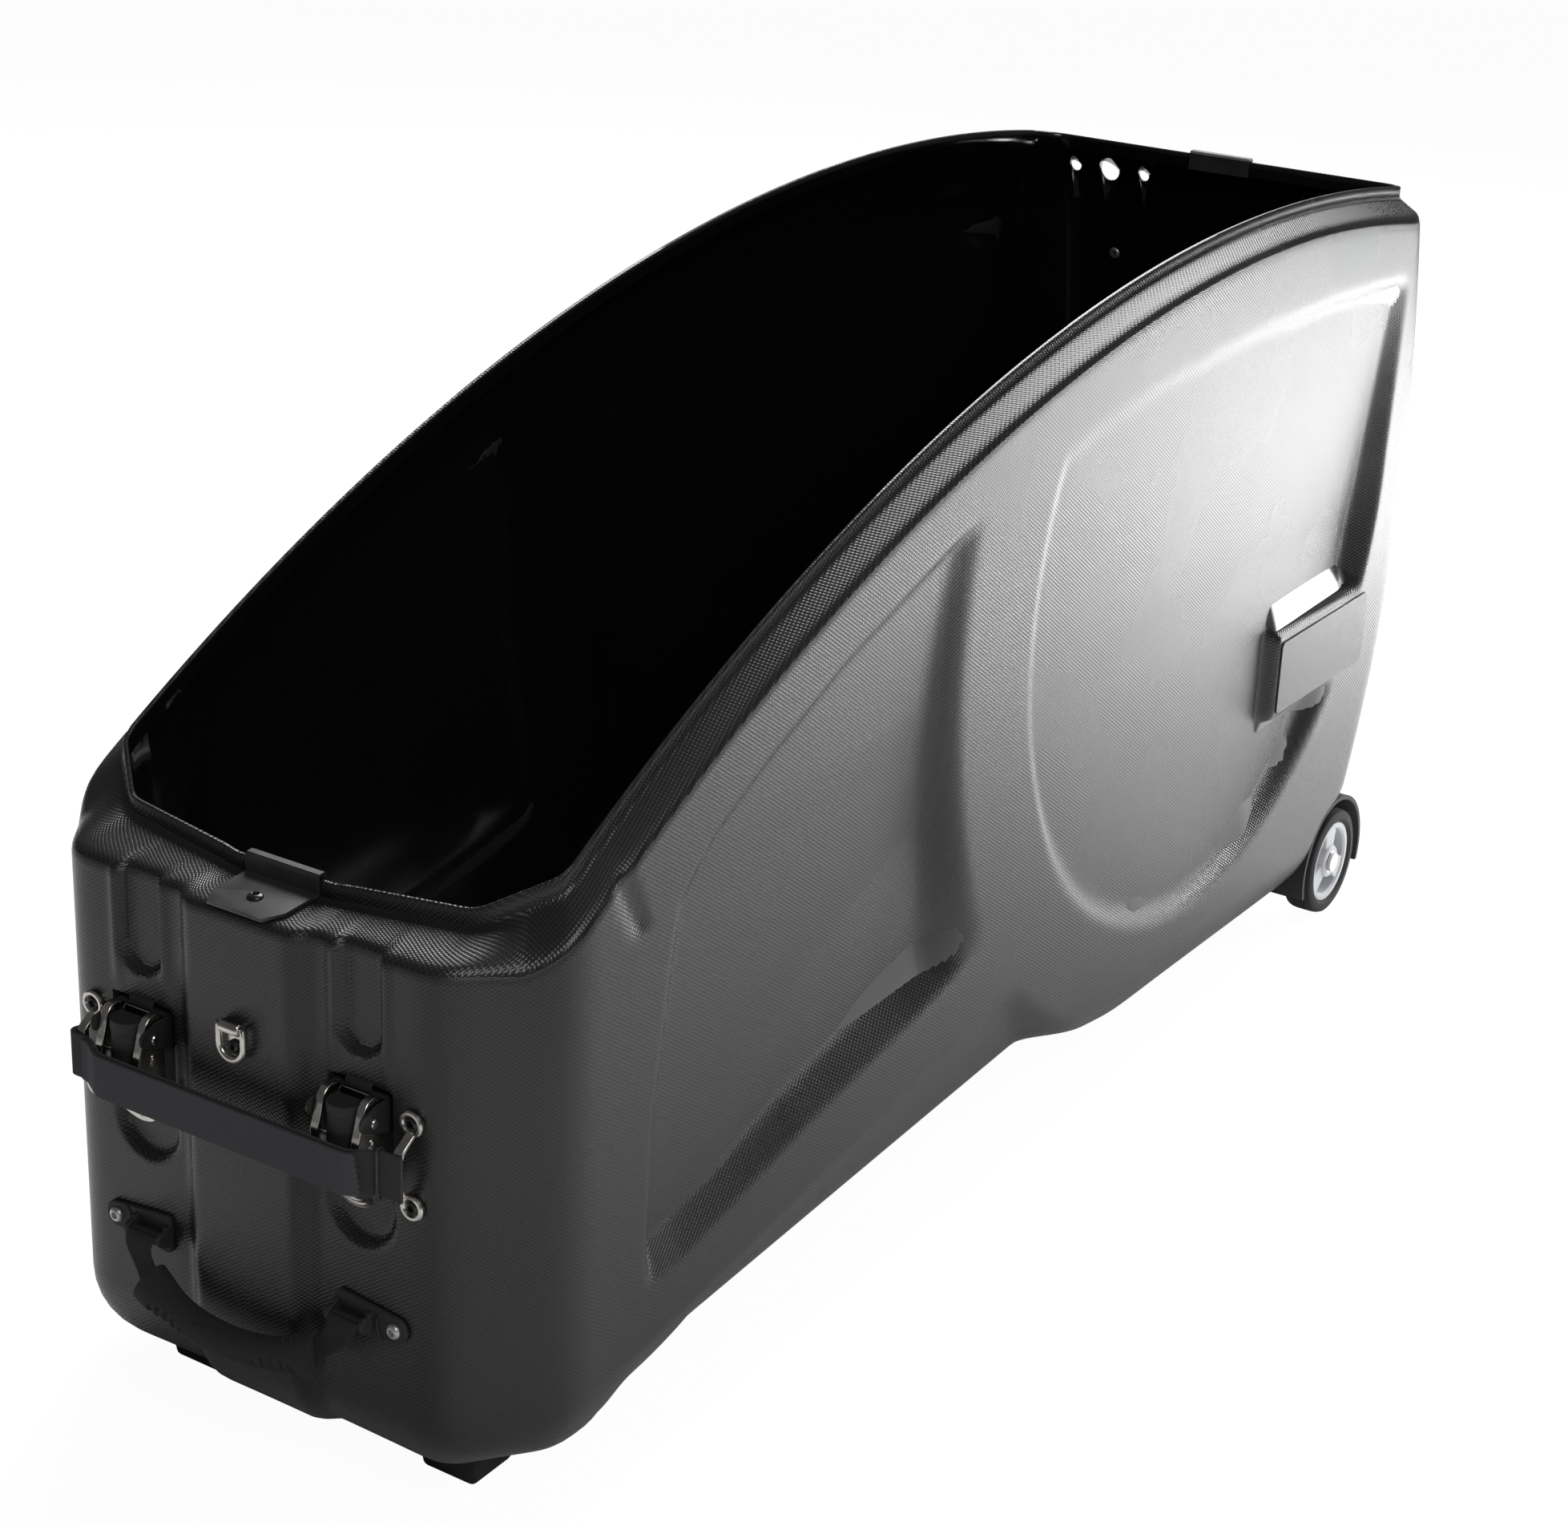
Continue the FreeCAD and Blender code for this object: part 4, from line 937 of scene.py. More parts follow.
@dataclass
class CaseShell:
    """The moulded half shell: embossed outside, glossy inside, one closed mesh."""

    half_width: float = 203.0
    wall: float = 3.0
    rear_x: float = 1352.0
    rim_radius: float = 1830.0
    rim_top_x: float = 1010.0
    rim_top_z: float = 695.0
    lip_height: float = 10.0
    lip_wall: float = 3.5
    shoulder_drop: float = 12.0
    shelf_z: float = 400.0
    rear_top_z: float = 650.0
    bulge_z: float = 400.0
    low_setback: float = 56.0
    low_reach: float = 276.0
    foot_setback: float = 74.0
    foot_z: float = 124.0
    foot_reach: float = 78.0
    top_setback: float = 30.0
    top_reach: float = 250.0
    nose_z: float = 28.0
    nose_end: float = 140.0
    middle_rise: float = 38.0
    tail_start: float = 725.0
    tail_slope: float = 130.0
    tail_drop: float = 20.0
    nose_edge: float = 60.0
    middle_edge: float = 26.0
    tail_edge: float = 42.0
    ring_x: float = 940.0
    ring_z: float = 440.0
    ring_radius: float = 424.0
    panel_radius: float = 323.0
    panel_depth: float = 20.0
    front_panel_depth: float = 22.0
    panel_fall: float = 220.0
    front_left_bevel: float = 9.0
    front_top_bevel: float = 6.0
    front_base_bevel: float = 29.0
    front_run: float = 300.0
    round_left_bevel: float = 6.0
    round_top_bevel: float = 10.0
    round_low_bevel: float = 17.0
    round_rear_gain: float = 5.0
    round_start: float = 620.0
    round_run: float = 630.0
    notch_depth: float = 4.0
    notch_half: float = 11.0
    groove_depth: float = 6.0
    groove_half: float = 19.0
    latch_seat_depth: float = 8.0
    latch_seat_half: float = 25.5
    ridge_height: float = 1.8
    hollow_depth: float = 7.0
    hollow_radius: float = 28.0
    hollow_z: float = 222.0
    edge_round: float = 2.2
    keel_depth: float = 34.0
    keel_height: float = 120.0
    latch_y: float = 90.0
    wheel_x: float = 1246.0
    wheel_z: float = 50.0
    well_y: float = 160.0
    well_radius: float = 64.3
    hole_x: float = 1290.0
    hole_z: float = 640.0
    hole_y: float = 122.0
    hole_pitch: float = 35.5
    cut_depth: float = 60.0
    front_top: Line = ((150, 380), (181, 416), (205, 431), (273, 467), (363, 507), (560, 574))
    front_left: Line = ((146, 147), (255, 150), (308, 158), (362, 165), (399, 173), (430, 205))
    front_base: Line = ((150, 130), (190, 134), (331, 166), (475, 192), (600, 222))
    round_top: Line = ((617, 545), (650, 580), (700, 592), (800, 604), (960, 612), (1120, 610), (1273, 600))
    round_right: Line = ((330, 1247), (440, 1263), (600, 1273))
    seat_low: Pair = (1064.0, 238.0)
    seat_high: Pair = (1266.0, 331.0)
    shoulder: Line = ((0.02, 3.4), (0.07, 1.1), (0.16, 0), (0.35, 0), (0.6, 0), (0.84, 0), (0.94, 0))
    lip_section: Line = ((0, 0.12), (0, 0.5), (0, 0.9), (0.25, 1), (0.75, 1), (1, 0.9), (1, 0.4), (1, -0.3))
    counts: tuple[int, ...] = (14, 6, 34, 20, 186, 8, 20)
    side_run: int = 4
    crests: tuple[float, ...] = (0.08, 0.45, 0.81, 0.955)
    rows_floor: int = 6
    rows_edge: int = 9
    rows_wall: int = 108
    rows_inner: int = 14

    def __post_init__(self) -> None:
        """Set out the plan lines, and the stations round them, closer together at the panels' crests."""
        side, rear, band = self.half_width, self.rear_x, -BAND_PROUD
        self.outer = PlanLine(
            (band, 0), (band, 42), (0, 54), (0, 150), (66, side), (1320, side), (rear, 171), (rear, 0))
        self.core = PlanLine(
            (70, 0), (70, 30), (75, 40), (75, 110), (110, 123), (1240, 123), (1262, 100), (1262, 0))
        self.lip = PlanLine(
            (36, 0), (36, 40), (38, 52), (48, 142), (83, 182), (1285, 182), (1302, 165), (1302, 0))
        steps = [np.linspace(i, i + 1, n, endpoint=False) for i, n in enumerate(self.counts)]
        share = np.linspace(0.0, 1.0, 800)
        density = 1.0 + sum(1.7 * np.exp(-((share - crest) / 0.028) ** 2) for crest in self.crests)
        running = np.cumsum(density) / density.sum()
        run = float(self.side_run)
        steps[self.side_run] = run + np.interp(steps[self.side_run] - run, running - running[0], share)
        half = np.concatenate(steps + [[float(len(self.counts))]])
        self.station = np.concatenate([half, half[-2::-1]])
        self.flip = np.concatenate([np.ones(len(half)), -np.ones(len(half) - 1)])
        self.rows: list[Points] = []

    def rim_height(self, x: np.ndarray, drop: float = 0.0) -> np.ndarray:
        """Height of the arched rim, or of a line below it."""
        radius = self.rim_radius - drop
        return self.rim_top_z - self.rim_radius + np.sqrt(radius ** 2 - (x - self.rim_top_x) ** 2)

    def floor_height(self, x: np.ndarray) -> np.ndarray:
        """Underside of the case along its length: low nose, raised middle, low rear."""
        front = self.nose_z + self.middle_rise * rise(x, self.nose_end, 70.0)
        return front - self.tail_drop * rise(x, self.tail_start, self.tail_slope)

    def edge_radius(self, x: np.ndarray) -> np.ndarray:
        """Radius of the lower edge along the case: wide at the nose, tight in the middle."""
        front = self.nose_edge - (self.nose_edge - self.middle_edge) * rise(x, self.nose_end, 60.0)
        return front + (self.tail_edge - self.middle_edge) * rise(x, self.tail_start, self.tail_slope)

    def rear_lean(self, z: np.ndarray) -> np.ndarray:
        """How far the bulged rear wall stands in front of its widest point.

        Args:
            z: Heights.

        Returns:
            The setback at each height.
        """
        low = self.low_setback * ramp(self.bulge_z - z, self.low_reach) ** 2
        foot = self.foot_setback * ramp(self.foot_z - z, self.foot_reach)
        high = self.top_setback * ramp(z - self.bulge_z, self.top_reach) ** 2
        return low + foot + high

    def side_relief(self, x: np.ndarray, z: np.ndarray) -> np.ndarray:
        """Depth pressed into the side wall, evened out over a few millimetres.

        Args:
            x: Places along the case.
            z: Heights.

        Returns:
            The depth at each point.
        """
        total = np.zeros_like(x)
        shifts = [(0.0, 0.0)] + arc((0.0, 0.0), self.edge_round, 0, 315, 8)
        for dx, dz in shifts:
            total += self.panel_relief(x + dx, z + dz)
        return total / len(shifts)

    def panel_relief(self, x: np.ndarray, z: np.ndarray) -> np.ndarray:
        """Depth of the two tilted panels, the leaning keel and the notch under the shoulder.

        Args:
            x: Places along the case.
            z: Heights.

        Returns:
            The depth at each point, with sharp edges.
        """
        reach = np.hypot(x - self.ring_x, z - self.ring_z)
        crest = 81.0 + 0.157 * (x - 100.0)
        lean = self.keel_depth * ramp(crest - z, self.keel_height)
        lean *= rise(reach, self.ring_radius - 14.0, 30.0) * rise(x, 96.0, 60.0) * (x < self.ring_x + 120.0)
        return lean + self.front_panel(x, z, reach) + self.round_panel(x, z, reach) + self.rim_notch(x, z)

    def front_panel(self, x: np.ndarray, z: np.ndarray, reach: np.ndarray) -> np.ndarray:
        """Three-cornered panel that sinks from its front and top crests towards the ring.

        Args:
            x: Places along the case.
            z: Heights.
            reach: Distances from the ring's middle.

        Returns:
            The panel's depth.
        """
        top = on_line(self.front_top, x)
        left = on_line(self.front_left, z)
        base = on_line(self.front_base, x)
        sink = ramp(x - left, self.front_left_bevel) * ramp(top - z, self.front_top_bevel)
        tilt = 0.5 + 0.5 * ramp(x - left, self.front_run)
        tilt *= 0.22 + 0.78 * ramp(top - z, self.panel_fall)
        bevel = ramp(z - base, self.front_base_bevel)
        valley = rise(reach, self.ring_radius, 34.0 + 26.0 * fall(z, 320.0, 110.0))
        return self.front_panel_depth * sink * tilt * bevel * valley * (x < self.ring_x)

    def round_panel(self, x: np.ndarray, z: np.ndarray, reach: np.ndarray) -> np.ndarray:
        """Large round panel that sinks from its left and top crests to the rear, round the plate's seat.

        Args:
            x: Places along the case.
            z: Heights.
            reach: Distances from the ring's middle.

        Returns:
            The panel's depth.
        """
        top = on_line(self.round_top, x)
        right = on_line(self.round_right, z)
        curved = (z < self.ring_z) | (x < self.ring_x)
        span = np.where(curved, self.panel_radius - reach, right - x)
        wide = self.round_low_bevel + self.round_rear_gain * rise(x, self.ring_x, 260.0)
        share = rise(x, self.ring_x - 260.0, 160.0)
        bevel = (1.0 - share) * ramp(span, self.round_left_bevel) + share * ramp(span, wide)
        tilt = 0.2 + 0.8 * ramp(x - self.round_start, self.round_run) ** 1.7
        tilt *= 0.25 + 0.75 * ramp(top - z, self.panel_fall)
        seat = rise(x, self.seat_low[0], 8.0) * fall(x, self.seat_high[0], 8.0)
        seat *= rise(z, self.seat_low[1], 8.0) * fall(z, self.seat_high[1], 13.0)
        sink = ramp(top - z, self.round_top_bevel)
        return self.panel_depth * sink * tilt * bevel * (1.0 - seat) * (x > 560.0)

    def rim_notch(self, x: np.ndarray, z: np.ndarray) -> np.ndarray:
        """Short groove under the shoulder near the front corner."""
        off = np.abs(x - (109.0 + (441.0 - z) * 0.54))
        return self.notch_depth * fall(off, self.notch_half, self.notch_half) * rise(z, 388.0, 14.0)

    def front_relief(self, y: np.ndarray, z: np.ndarray) -> np.ndarray:
        """Depth of the grooves above the latches, of their flat seats and of the finger hollows below them.

        Args:
            y: Places across the case.
            z: Heights.

        Returns:
            The depth at each point.
        """
        off = np.abs(np.abs(y) - self.latch_y)
        low_end = np.clip(346.0 - z, 0.0, None)
        groove = self.groove_depth * fall(np.hypot(off, low_end), self.groove_half, 5.0)
        seat = self.latch_seat_depth * fall(off, self.latch_seat_half, 3.0)
        seat *= rise(z, 228.0, 8.0) * fall(z, 311.0, 4.0)
        ridge = self.ridge_height * fall(off, 27.0, 6.0) * rise(off, 15.0, 5.0) * rise(z, 300.0, 40.0)
        hollow = self.hollow_depth * fall(np.hypot(off, z - self.hollow_z), self.hollow_radius, 7.0)
        return np.maximum(np.maximum(groove, hollow), seat) - ridge

    def columns(self) -> ShellColumns:
        """Work out what each column round the plan needs.

        Returns:
            The columns.
        """
        station = self.station
        corner = rise(station, 2.2, 0.6) * fall(station, 6.95, 0.3)
        outer_x, outer_y = self.outer.rounded(station, 7.0 + 25.0 * corner)
        core_x, core_y = self.core.rounded(station, 7.0 + 25.0 * corner)
        lip_x, lip_y = self.lip.rounded(station, 5.0 + 9.0 * corner)
        along = self.outer.length(station)
        side_top = self.rim_height(np.clip(outer_x, 40.0, 1300.0), self.lip_height) - self.shoulder_drop
        past_front = rise(station, 3.0, 1.0)
        past_side = rise(station, 5.0, 1.0)
        top = self.shelf_z * (1.0 - past_front) + side_top * past_front
        return ShellColumns(
            outer_x, outer_y, core_x, core_y, lip_x, lip_y,
            along=np.where(self.flip > 0, along, 2.0 * self.outer.marks[-1] - along),
            floor=self.floor_height(outer_x),
            edge=self.edge_radius(outer_x),
            top=top * (1.0 - past_side) + self.rear_top_z * past_side,
            foot=self.rim_height(lip_x, self.lip_height),
            rim=self.rim_height(lip_x),
            middle=np.clip(outer_x, 92.0, 1240.0),
            side=rise(station, 3.95, 0.05) * fall(station, 5.06, 0.05),
            front=rise(station, 1.95, 0.08) * fall(station, 3.1, 0.08),
            rear=rise(outer_x, 852.0, 500.0),
        )

    def wall_point(self, c: ShellColumns, inset: np.ndarray, z: np.ndarray, press: float = 1.0) -> Points:
        """Point of the wall at a height, moved in by an inset and pressed by its relief.

        Args:
            c: The columns.
            inset: How far in from the plan, in millimetres.
            z: Height.
            press: Share of the relief that shows.

        Returns:
            X and Y of each column.
        """
        share = inset / c.depth
        x = c.outer_x + (c.core_x - c.outer_x) * share
        y = c.outer_y + (c.core_y - c.outer_y) * share
        x = x - self.rear_lean(z) * c.rear
        x = x + press * c.front * self.front_relief(y, z)
        y = y - press * c.side * self.side_relief(x, z)
        return x, y

    def add_row(self, x: np.ndarray, y: np.ndarray, z: np.ndarray, up: np.ndarray) -> None:
        """Add one row of points and its height in the pattern, mirrored on the right half."""
        self.rows.append((x, y * self.flip, z, up))

    def floor_rows(self, c: ShellColumns, lift: float, order: Sequence[float]) -> None:
        """Rows of the underside or of the floor inside.

        Args:
            c: The columns.
            lift: Height above the underside.
            order: Shares of the way from the middle to the lower edge.
        """
        z = c.floor + lift
        x_edge, y_edge = self.wall_point(c, c.edge + lift, z)
        x = c.middle - self.rear_lean(z) * c.rear * 0.7
        for share in order:
            self.add_row(x + (x_edge - x) * share, y_edge * share, z, z - (1.0 - share) * np.abs(y_edge))

    def edge_rows(self, c: ShellColumns, lift: float, order: Sequence[float]) -> None:
        """Rows round the lower edge.

        Args:
            c: The columns.
            lift: How far in from the outside.
            order: Shares of the quarter turn from the floor to the wall.
        """
        for share in order:
            turn = 0.5 * math.pi * share
            z = c.floor + lift + c.edge * (1.0 - math.cos(turn))
            x, y = self.wall_point(c, lift + c.edge * (1.0 - math.sin(turn)), z)
            self.add_row(x, y, z, z)

    def wall_rows(self, c: ShellColumns, inset: float, drop: float, order: Sequence[float]) -> None:
        """Rows of the wall's outer or inner face.

        Args:
            c: The columns.
            inset: How far in from the outside.
            drop: How far below the shoulder the rows end.
            order: Shares of the way from the lower edge up.
        """
        low = c.floor + c.edge + inset
        high = c.top - drop
        for share in order:
            z = low + (high - low) * share
            x, y = self.wall_point(c, inset * np.ones_like(z), z)
            self.add_row(x, y, z, z)

    def shoulder_rows(self, c: ShellColumns) -> None:
        """Rows over the sloping shoulder, up the lip and down its inner face.

        Args:
            c: The columns.
        """
        flush = np.zeros_like(c.top)
        top_x, top_y = self.wall_point(c, flush, c.top)
        plain_x, plain_y = self.wall_point(c, flush, c.top, press=0.0)
        slope = np.hypot(c.lip_x - plain_x, c.lip_y - plain_y)
        for share, drop in self.shoulder:
            x = top_x + (plain_x - top_x) * share
            y = top_y + (plain_y - top_y) * share
            z = c.top + (c.foot - c.top) * share - drop
            self.add_row(x + (c.lip_x - x) * share, y + (c.lip_y - y) * share, z, c.top + share * slope)
        span = np.hypot(c.lip_x - c.outer_x, c.lip_y - c.outer_y)
        inward = self.lip_wall / np.hypot(c.core_x - c.lip_x, c.core_y - c.lip_y)
        for share, height in self.lip_section:
            x = c.lip_x + (c.core_x - c.lip_x) * inward * share
            y = c.lip_y + (c.core_y - c.lip_y) * inward * share
            z = c.foot + (c.rim - c.foot) * height
            self.add_row(x, y, z, c.top + span + self.lip_height * height)

    def mould(self) -> Piece:
        """Model the closed section from the middle of the underside over the lip to the middle of the floor.

        Returns:
            The shell with its two faces.
        """
        c = self.columns()
        steps_floor = np.linspace(0.0, 1.0, self.rows_floor, endpoint=False)
        steps_edge = np.linspace(0.0, 1.0, self.rows_edge, endpoint=False)
        self.floor_rows(c, 0.0, steps_floor)
        self.edge_rows(c, 0.0, steps_edge)
        self.wall_rows(c, 0.0, 7.0, np.linspace(0.0, 1.0, self.rows_wall))
        self.shoulder_rows(c)
        lip_foot = len(self.rows) - 3
        self.wall_rows(c, self.wall, 9.0, np.linspace(1.0, 0.0, self.rows_inner))
        self.edge_rows(c, self.wall, steps_edge[::-2])
        self.floor_rows(c, self.wall, steps_floor[::-1])
        spots = [np.stack([row[k] for row in self.rows]) for k in range(4)]

        def shape(column: np.ndarray, row: np.ndarray) -> Points:
            """Place and pattern lengths of the grid's points."""
            x, y, z, up = (spot[row, column] for spot in spots)
            return x, y, z, c.along[column], up

        shell = Bench.surface("shell_moulding", len(self.station) - 1, len(self.rows) - 1, shape)
        for finish in (Finishes.OUTSIDE, Finishes.INSIDE):
            shell.data.materials.append(finish.material())
        starts = np.empty(len(shell.data.polygons), dtype=int)
        shell.data.polygons.foreach_get("loop_start", starts)
        corner = np.empty(len(shell.data.loops), dtype=int)
        shell.data.loops.foreach_get("vertex_index", corner)
        inside = corner[starts] // len(self.station) >= lip_foot
        shell.data.polygons.foreach_set("material_index", inside.astype(int))
        return Bench.tidy(shell, 50.0, 2e-5)

    def pierce(self, shell: Piece) -> None:
        """Cut the wheel wells and the holes of the rear wall.

        Args:
            shell: The closed shell.
        """
        below, behind = -20.0, 1400.0
        outline = arc((self.wheel_x, self.wheel_z), self.well_radius, 180, 0, 33)
        outline += [(behind, self.wheel_z), (behind, below), (self.wheel_x - self.well_radius, below)]
        for start in (self.well_y, -self.well_y - self.cut_depth):
            Bench.cut(shell, Bench.slab("well", outline, Facing.SIDE, start, self.cut_depth))
        for turn, radius in ((-1, 5.5), (0, 10.0), (1, 5.5)):
            at = (self.hole_x, self.hole_y + turn * self.hole_pitch, self.hole_z)
            profile = [(0.001, 0), (radius, 0), (radius, self.cut_depth), (0.001, self.cut_depth)]
            Bench.cut(shell, Bench.turned("hole", profile, at, ALONG_CASE, 32))

    def build(self) -> None:
        """Model the shell, open its wheel wells and rear holes, and dress it."""
        shell = self.mould()
        self.pierce(shell)
        dress(shell, Finishes.OUTSIDE, "case_abs", "case", "case_shell")


@dataclass
class Latch:
    """One front latch, modelled about Y = 0: black base, nickel cheeks and tongue, dark thumb piece."""

    seat: float = 8.0
    half_width: float = 22.0
    low: float = 236.0
    high: float = 306.0
    plate: float = 2.0
    pivot: Pair = (-12.6, 294.0)
    nose: Pair = (-19.2, 296.0)
    nose_radius: float = 6.0
    tip_z: float = 226.0
    tongue_top: float = 264.0
    tongue_columns: int = 32
    tongue_rows: int = 44
    lever_half: float = 19.0
    strip_width: float = 5.8
    flange: float = 1.4
    thumb_half: float = 12.2
    latch_y: float = 90.0

    def base(self) -> Piece:
        """Riveted base with two ears, a rolled top edge and a folded tab.

        Returns:
            The base.
        """
        half, seat = self.half_width, self.seat
        back = rounded_box((-half, self.low), (half, self.high), 3.0, 5)
        pieces = [Bench.slab("back", back, Facing.FRONT, seat - self.plate, self.plate)]
        ear = [(seat, self.high), (-10.0, 304.6)] + arc(self.nose, self.nose_radius, 92, 262, 14)
        ear.append((seat, 279.0))
        for start in (-half, half - self.plate):
            pieces.append(Bench.soften(Bench.slab("ear", ear, Facing.SIDE, start, self.plate), 0.6, 2))
        edge = arc((0.4, 305.2), 1.6, 90, 270, 8) + [(seat, 303.6), (seat, 306.8)]
        pieces.append(Bench.slab("edge", edge, Facing.SIDE, -half + 1.0, 2 * half - 2.0))
        fold = [(6.6, 304.0), (6.6, 309.8), (5.6, 311.6), (3.8, 312.2), (1.6, 312.2), (0.2, 311.6),
                (-0.7, 310.2), (-0.9, 305.4)]
        tab = Bench.slab("tab", thick_line(fold, 1.5), Facing.SIDE, -10.4, 20.8)
        pieces.append(Bench.soften(tab, 0.4, 2))
        return Bench.tidy(Bench.joined("latch_frame", pieces))

    def rail(self) -> Piece:
        """Thin bright rail over the top of the thumb piece."""
        bend = [(-8.0, 13.0, 290.0), (-3.4, 13.0, 303.2), (-2.6, 12.2, 305.0)]
        return Bench.wire("rail", bend + [(x, -y, z) for x, y, z in reversed(bend)], 0.75)

    def pins(self) -> Piece:
        """Flat pivot rivets of the two ears.

        Returns:
            Both rivets.
        """
        profile = [(0.0, -2.4), (2.4, -2.4), (2.4, 0.2), (3.5, 0.2), (3.5, 0.9), (2.9, 1.5), (0.0, 1.7)]
        pieces = []
        for way in (-1.0, 1.0):
            at = (self.pivot[0], way * self.half_width, self.pivot[1])
            pieces.append(Bench.turned("head", profile, at, (0, way, 0), 28))
        return Bench.joined("pivot_rivets", pieces)

    def lever(self) -> Piece:
        """Two curved cheeks with side flanges, and a ribbed tongue that lies back into the hollow.

        Returns:
            The lever.
        """
        curve = [
            (-5.0, 307.4), (-9.5, 308.2), (-14.0, 306.8), (-17.4, 303.2), (-19.0, 298.0), (-20.4, 292.6),
            (-22.0, 288.0), (-23.4, 283.6), (-24.2, 278.0), (-24.4, 271.0), (-24.2, 263.0), (-23.6, 256.0),
        ]
        cheek = [(x + 0.6, z) for x, z in curve] + [(-1.5, 256.0), (-1.5, 300.0)]
        head = [(0.0, -0.6), (2.2, -0.6), (2.2, 0.5), (1.3, 1.1), (0.0, 1.2)]
        pieces = [self.tongue(), self.rail()]
        for way in (-1.0, 1.0):
            outer = way * self.lever_half
            start = min(outer, outer - way * self.strip_width)
            strip = Bench.slab("strip", thick_line(curve, 1.6), Facing.SIDE, start, self.strip_width)
            start = min(outer, outer - way * self.flange)
            wall = Bench.slab("wall", cheek, Facing.SIDE, start, self.flange)
            rivet = Bench.turned("rivet", head, (-11.4, outer, 279.5), (0, way, 0), 20)
            pieces += [Bench.soften(strip, 0.5, 2, 50.0), wall, rivet]
        return Bench.joined("lever_pressing", pieces)

    def tongue_shape(self, column: np.ndarray, row: np.ndarray) -> Points:
        """Points of the rounded tongue, which leans back and has ribs about its tip.

        Args:
            column: Column numbers.
            row: Row numbers.

        Returns:
            X, Y, Z and two pattern lengths.
        """
        middle = self.tip_z + self.lever_half
        z = self.tongue_top + (self.tip_z - self.tongue_top) * (row / self.tongue_rows)
        below = np.clip(middle - z, 0.0, None)
        half = np.sqrt(np.clip(self.lever_half ** 2 - below ** 2, 0.04, None))
        y = half * (column / self.tongue_columns * 2.0 - 1.0)
        reach = np.hypot(y, z - middle)
        rib = 0.45 * np.cos(math.tau * reach / 3.4) * fall(z, 254.0, 6.0) * fall(reach, 18.4, 3.0)
        return -24.2 + 20.4 * fall(z, 262.0, 38.0) - rib, y, z, y, z

    def tongue(self) -> Piece:
        """Rounded tongue of pressed sheet.

        Returns:
            The tongue.
        """
        tongue = Bench.surface("tongue", self.tongue_columns, self.tongue_rows, self.tongue_shape)
        Bench.apply(tongue, "SOLIDIFY", thickness=1.5 * MM, offset=0.0)
        return Bench.tidy(tongue, 40.0)

    def thumb(self) -> Piece:
        """Barrel-shaped thumb piece with a flat top and a shallow bare band.

        Returns:
            The thumb piece.
        """
        barrel = (264.0, 288.2, 0.0, -10.4, 0.7)
        band = (287.9, 296.0, 0.6, -7.4, 0.2)
        cap = (295.6, 303.6, 0.1, -7.4, 0.7)
        pieces = []
        for low, high, shrink, back, bevel in (barrel, band, cap):
            half = self.thumb_half - shrink
            turns = np.linspace(-1.5, 1.5, 18)
            outline = [(-14.0 - (10.0 - shrink) * math.cos(t), half * math.sin(t)) for t in turns]
            outline += [(back, half), (back, -half)]
            body = Bench.slab("body", outline, Facing.TOP, low, high - low)
            pieces.append(Bench.soften(body, bevel, 2, 50.0))
        return Bench.joined("thumb_barrel", pieces)

    def build(self) -> None:
        """Model one latch and set a copy of it at each side."""
        apart = self.latch_y
        dress_sides(self.base(), Finishes.LATCH_BLACK, "latch_black", "case", "latch_base", apart)
        dress_sides(self.pins(), Finishes.NICKEL, "nickel", "case", "latch_pin", apart)
        dress_sides(self.lever(), Finishes.NICKEL, "nickel", "lever", "latch_lever", apart)
        dress_sides(self.thumb(), Finishes.BLACK_PLASTIC, "black_plastic", "release", "latch_release", apart)


@dataclass
class StrapLoop:
    """Bent nickel loop with two eyelets and black socket screws, modelled about Y = 0."""

    upper: float = 296.0
    lower: float = 238.0
    loop_y: float = 132.0
    screw_head: Pair = (5.6, 3.4)

    def loop(self) -> Piece:
        """Two rounded eyelets joined by a flat bar that stands off the wall.

        Returns:
            The loop.
        """
        ring = [(5.3, 0.0), (8.5, 0.0), (8.9, 0.8), (8.9, 2.6), (7.9, 3.7), (6.2, 3.7), (5.2, 2.6)]
        pieces = [Bench.turned("eye", ring, (0, 0, z), OUT_OF_FRONT, 36) for z in (self.upper, self.lower)]
        line = [(-1.6, 289.6), (-4.4, 287.4), (-9.0, 284.4), (-13.0, 281.4), (-15.0, 277.4), (-15.2, 272.0),
                (-15.2, 262.0), (-15.0, 256.6), (-13.0, 252.6), (-9.0, 249.6), (-4.4, 246.6), (-1.6, 244.4)]
        arm = Bench.slab("arm", thick_line(line, 3.0), Facing.SIDE, -3.6, 7.2)
        return Bench.joined("loop_bar", pieces + [Bench.soften(arm, 1.0, 3, 50.0)])

    def screws(self) -> Piece:
        """The two screws of each loop.

        Returns:
            All four heads.
        """
        heads = []
        for side in Side:
            for z in (self.upper, self.lower):
                at = (-0.4, side.value * self.loop_y, z)
                heads.append(socket_screw("head", at, OUT_OF_FRONT, *self.screw_head))
        return Bench.joined("loop_screws", heads)

    def build(self) -> None:
        """Model one loop, copy it to each side and screw both down."""
        dress_sides(self.loop(), Finishes.NICKEL, "nickel", "case", "strap_loop", self.loop_y)
        dress(self.screws(), Finishes.BLACK_STEEL, "screw_steel", "case", "strap_loop_screws")


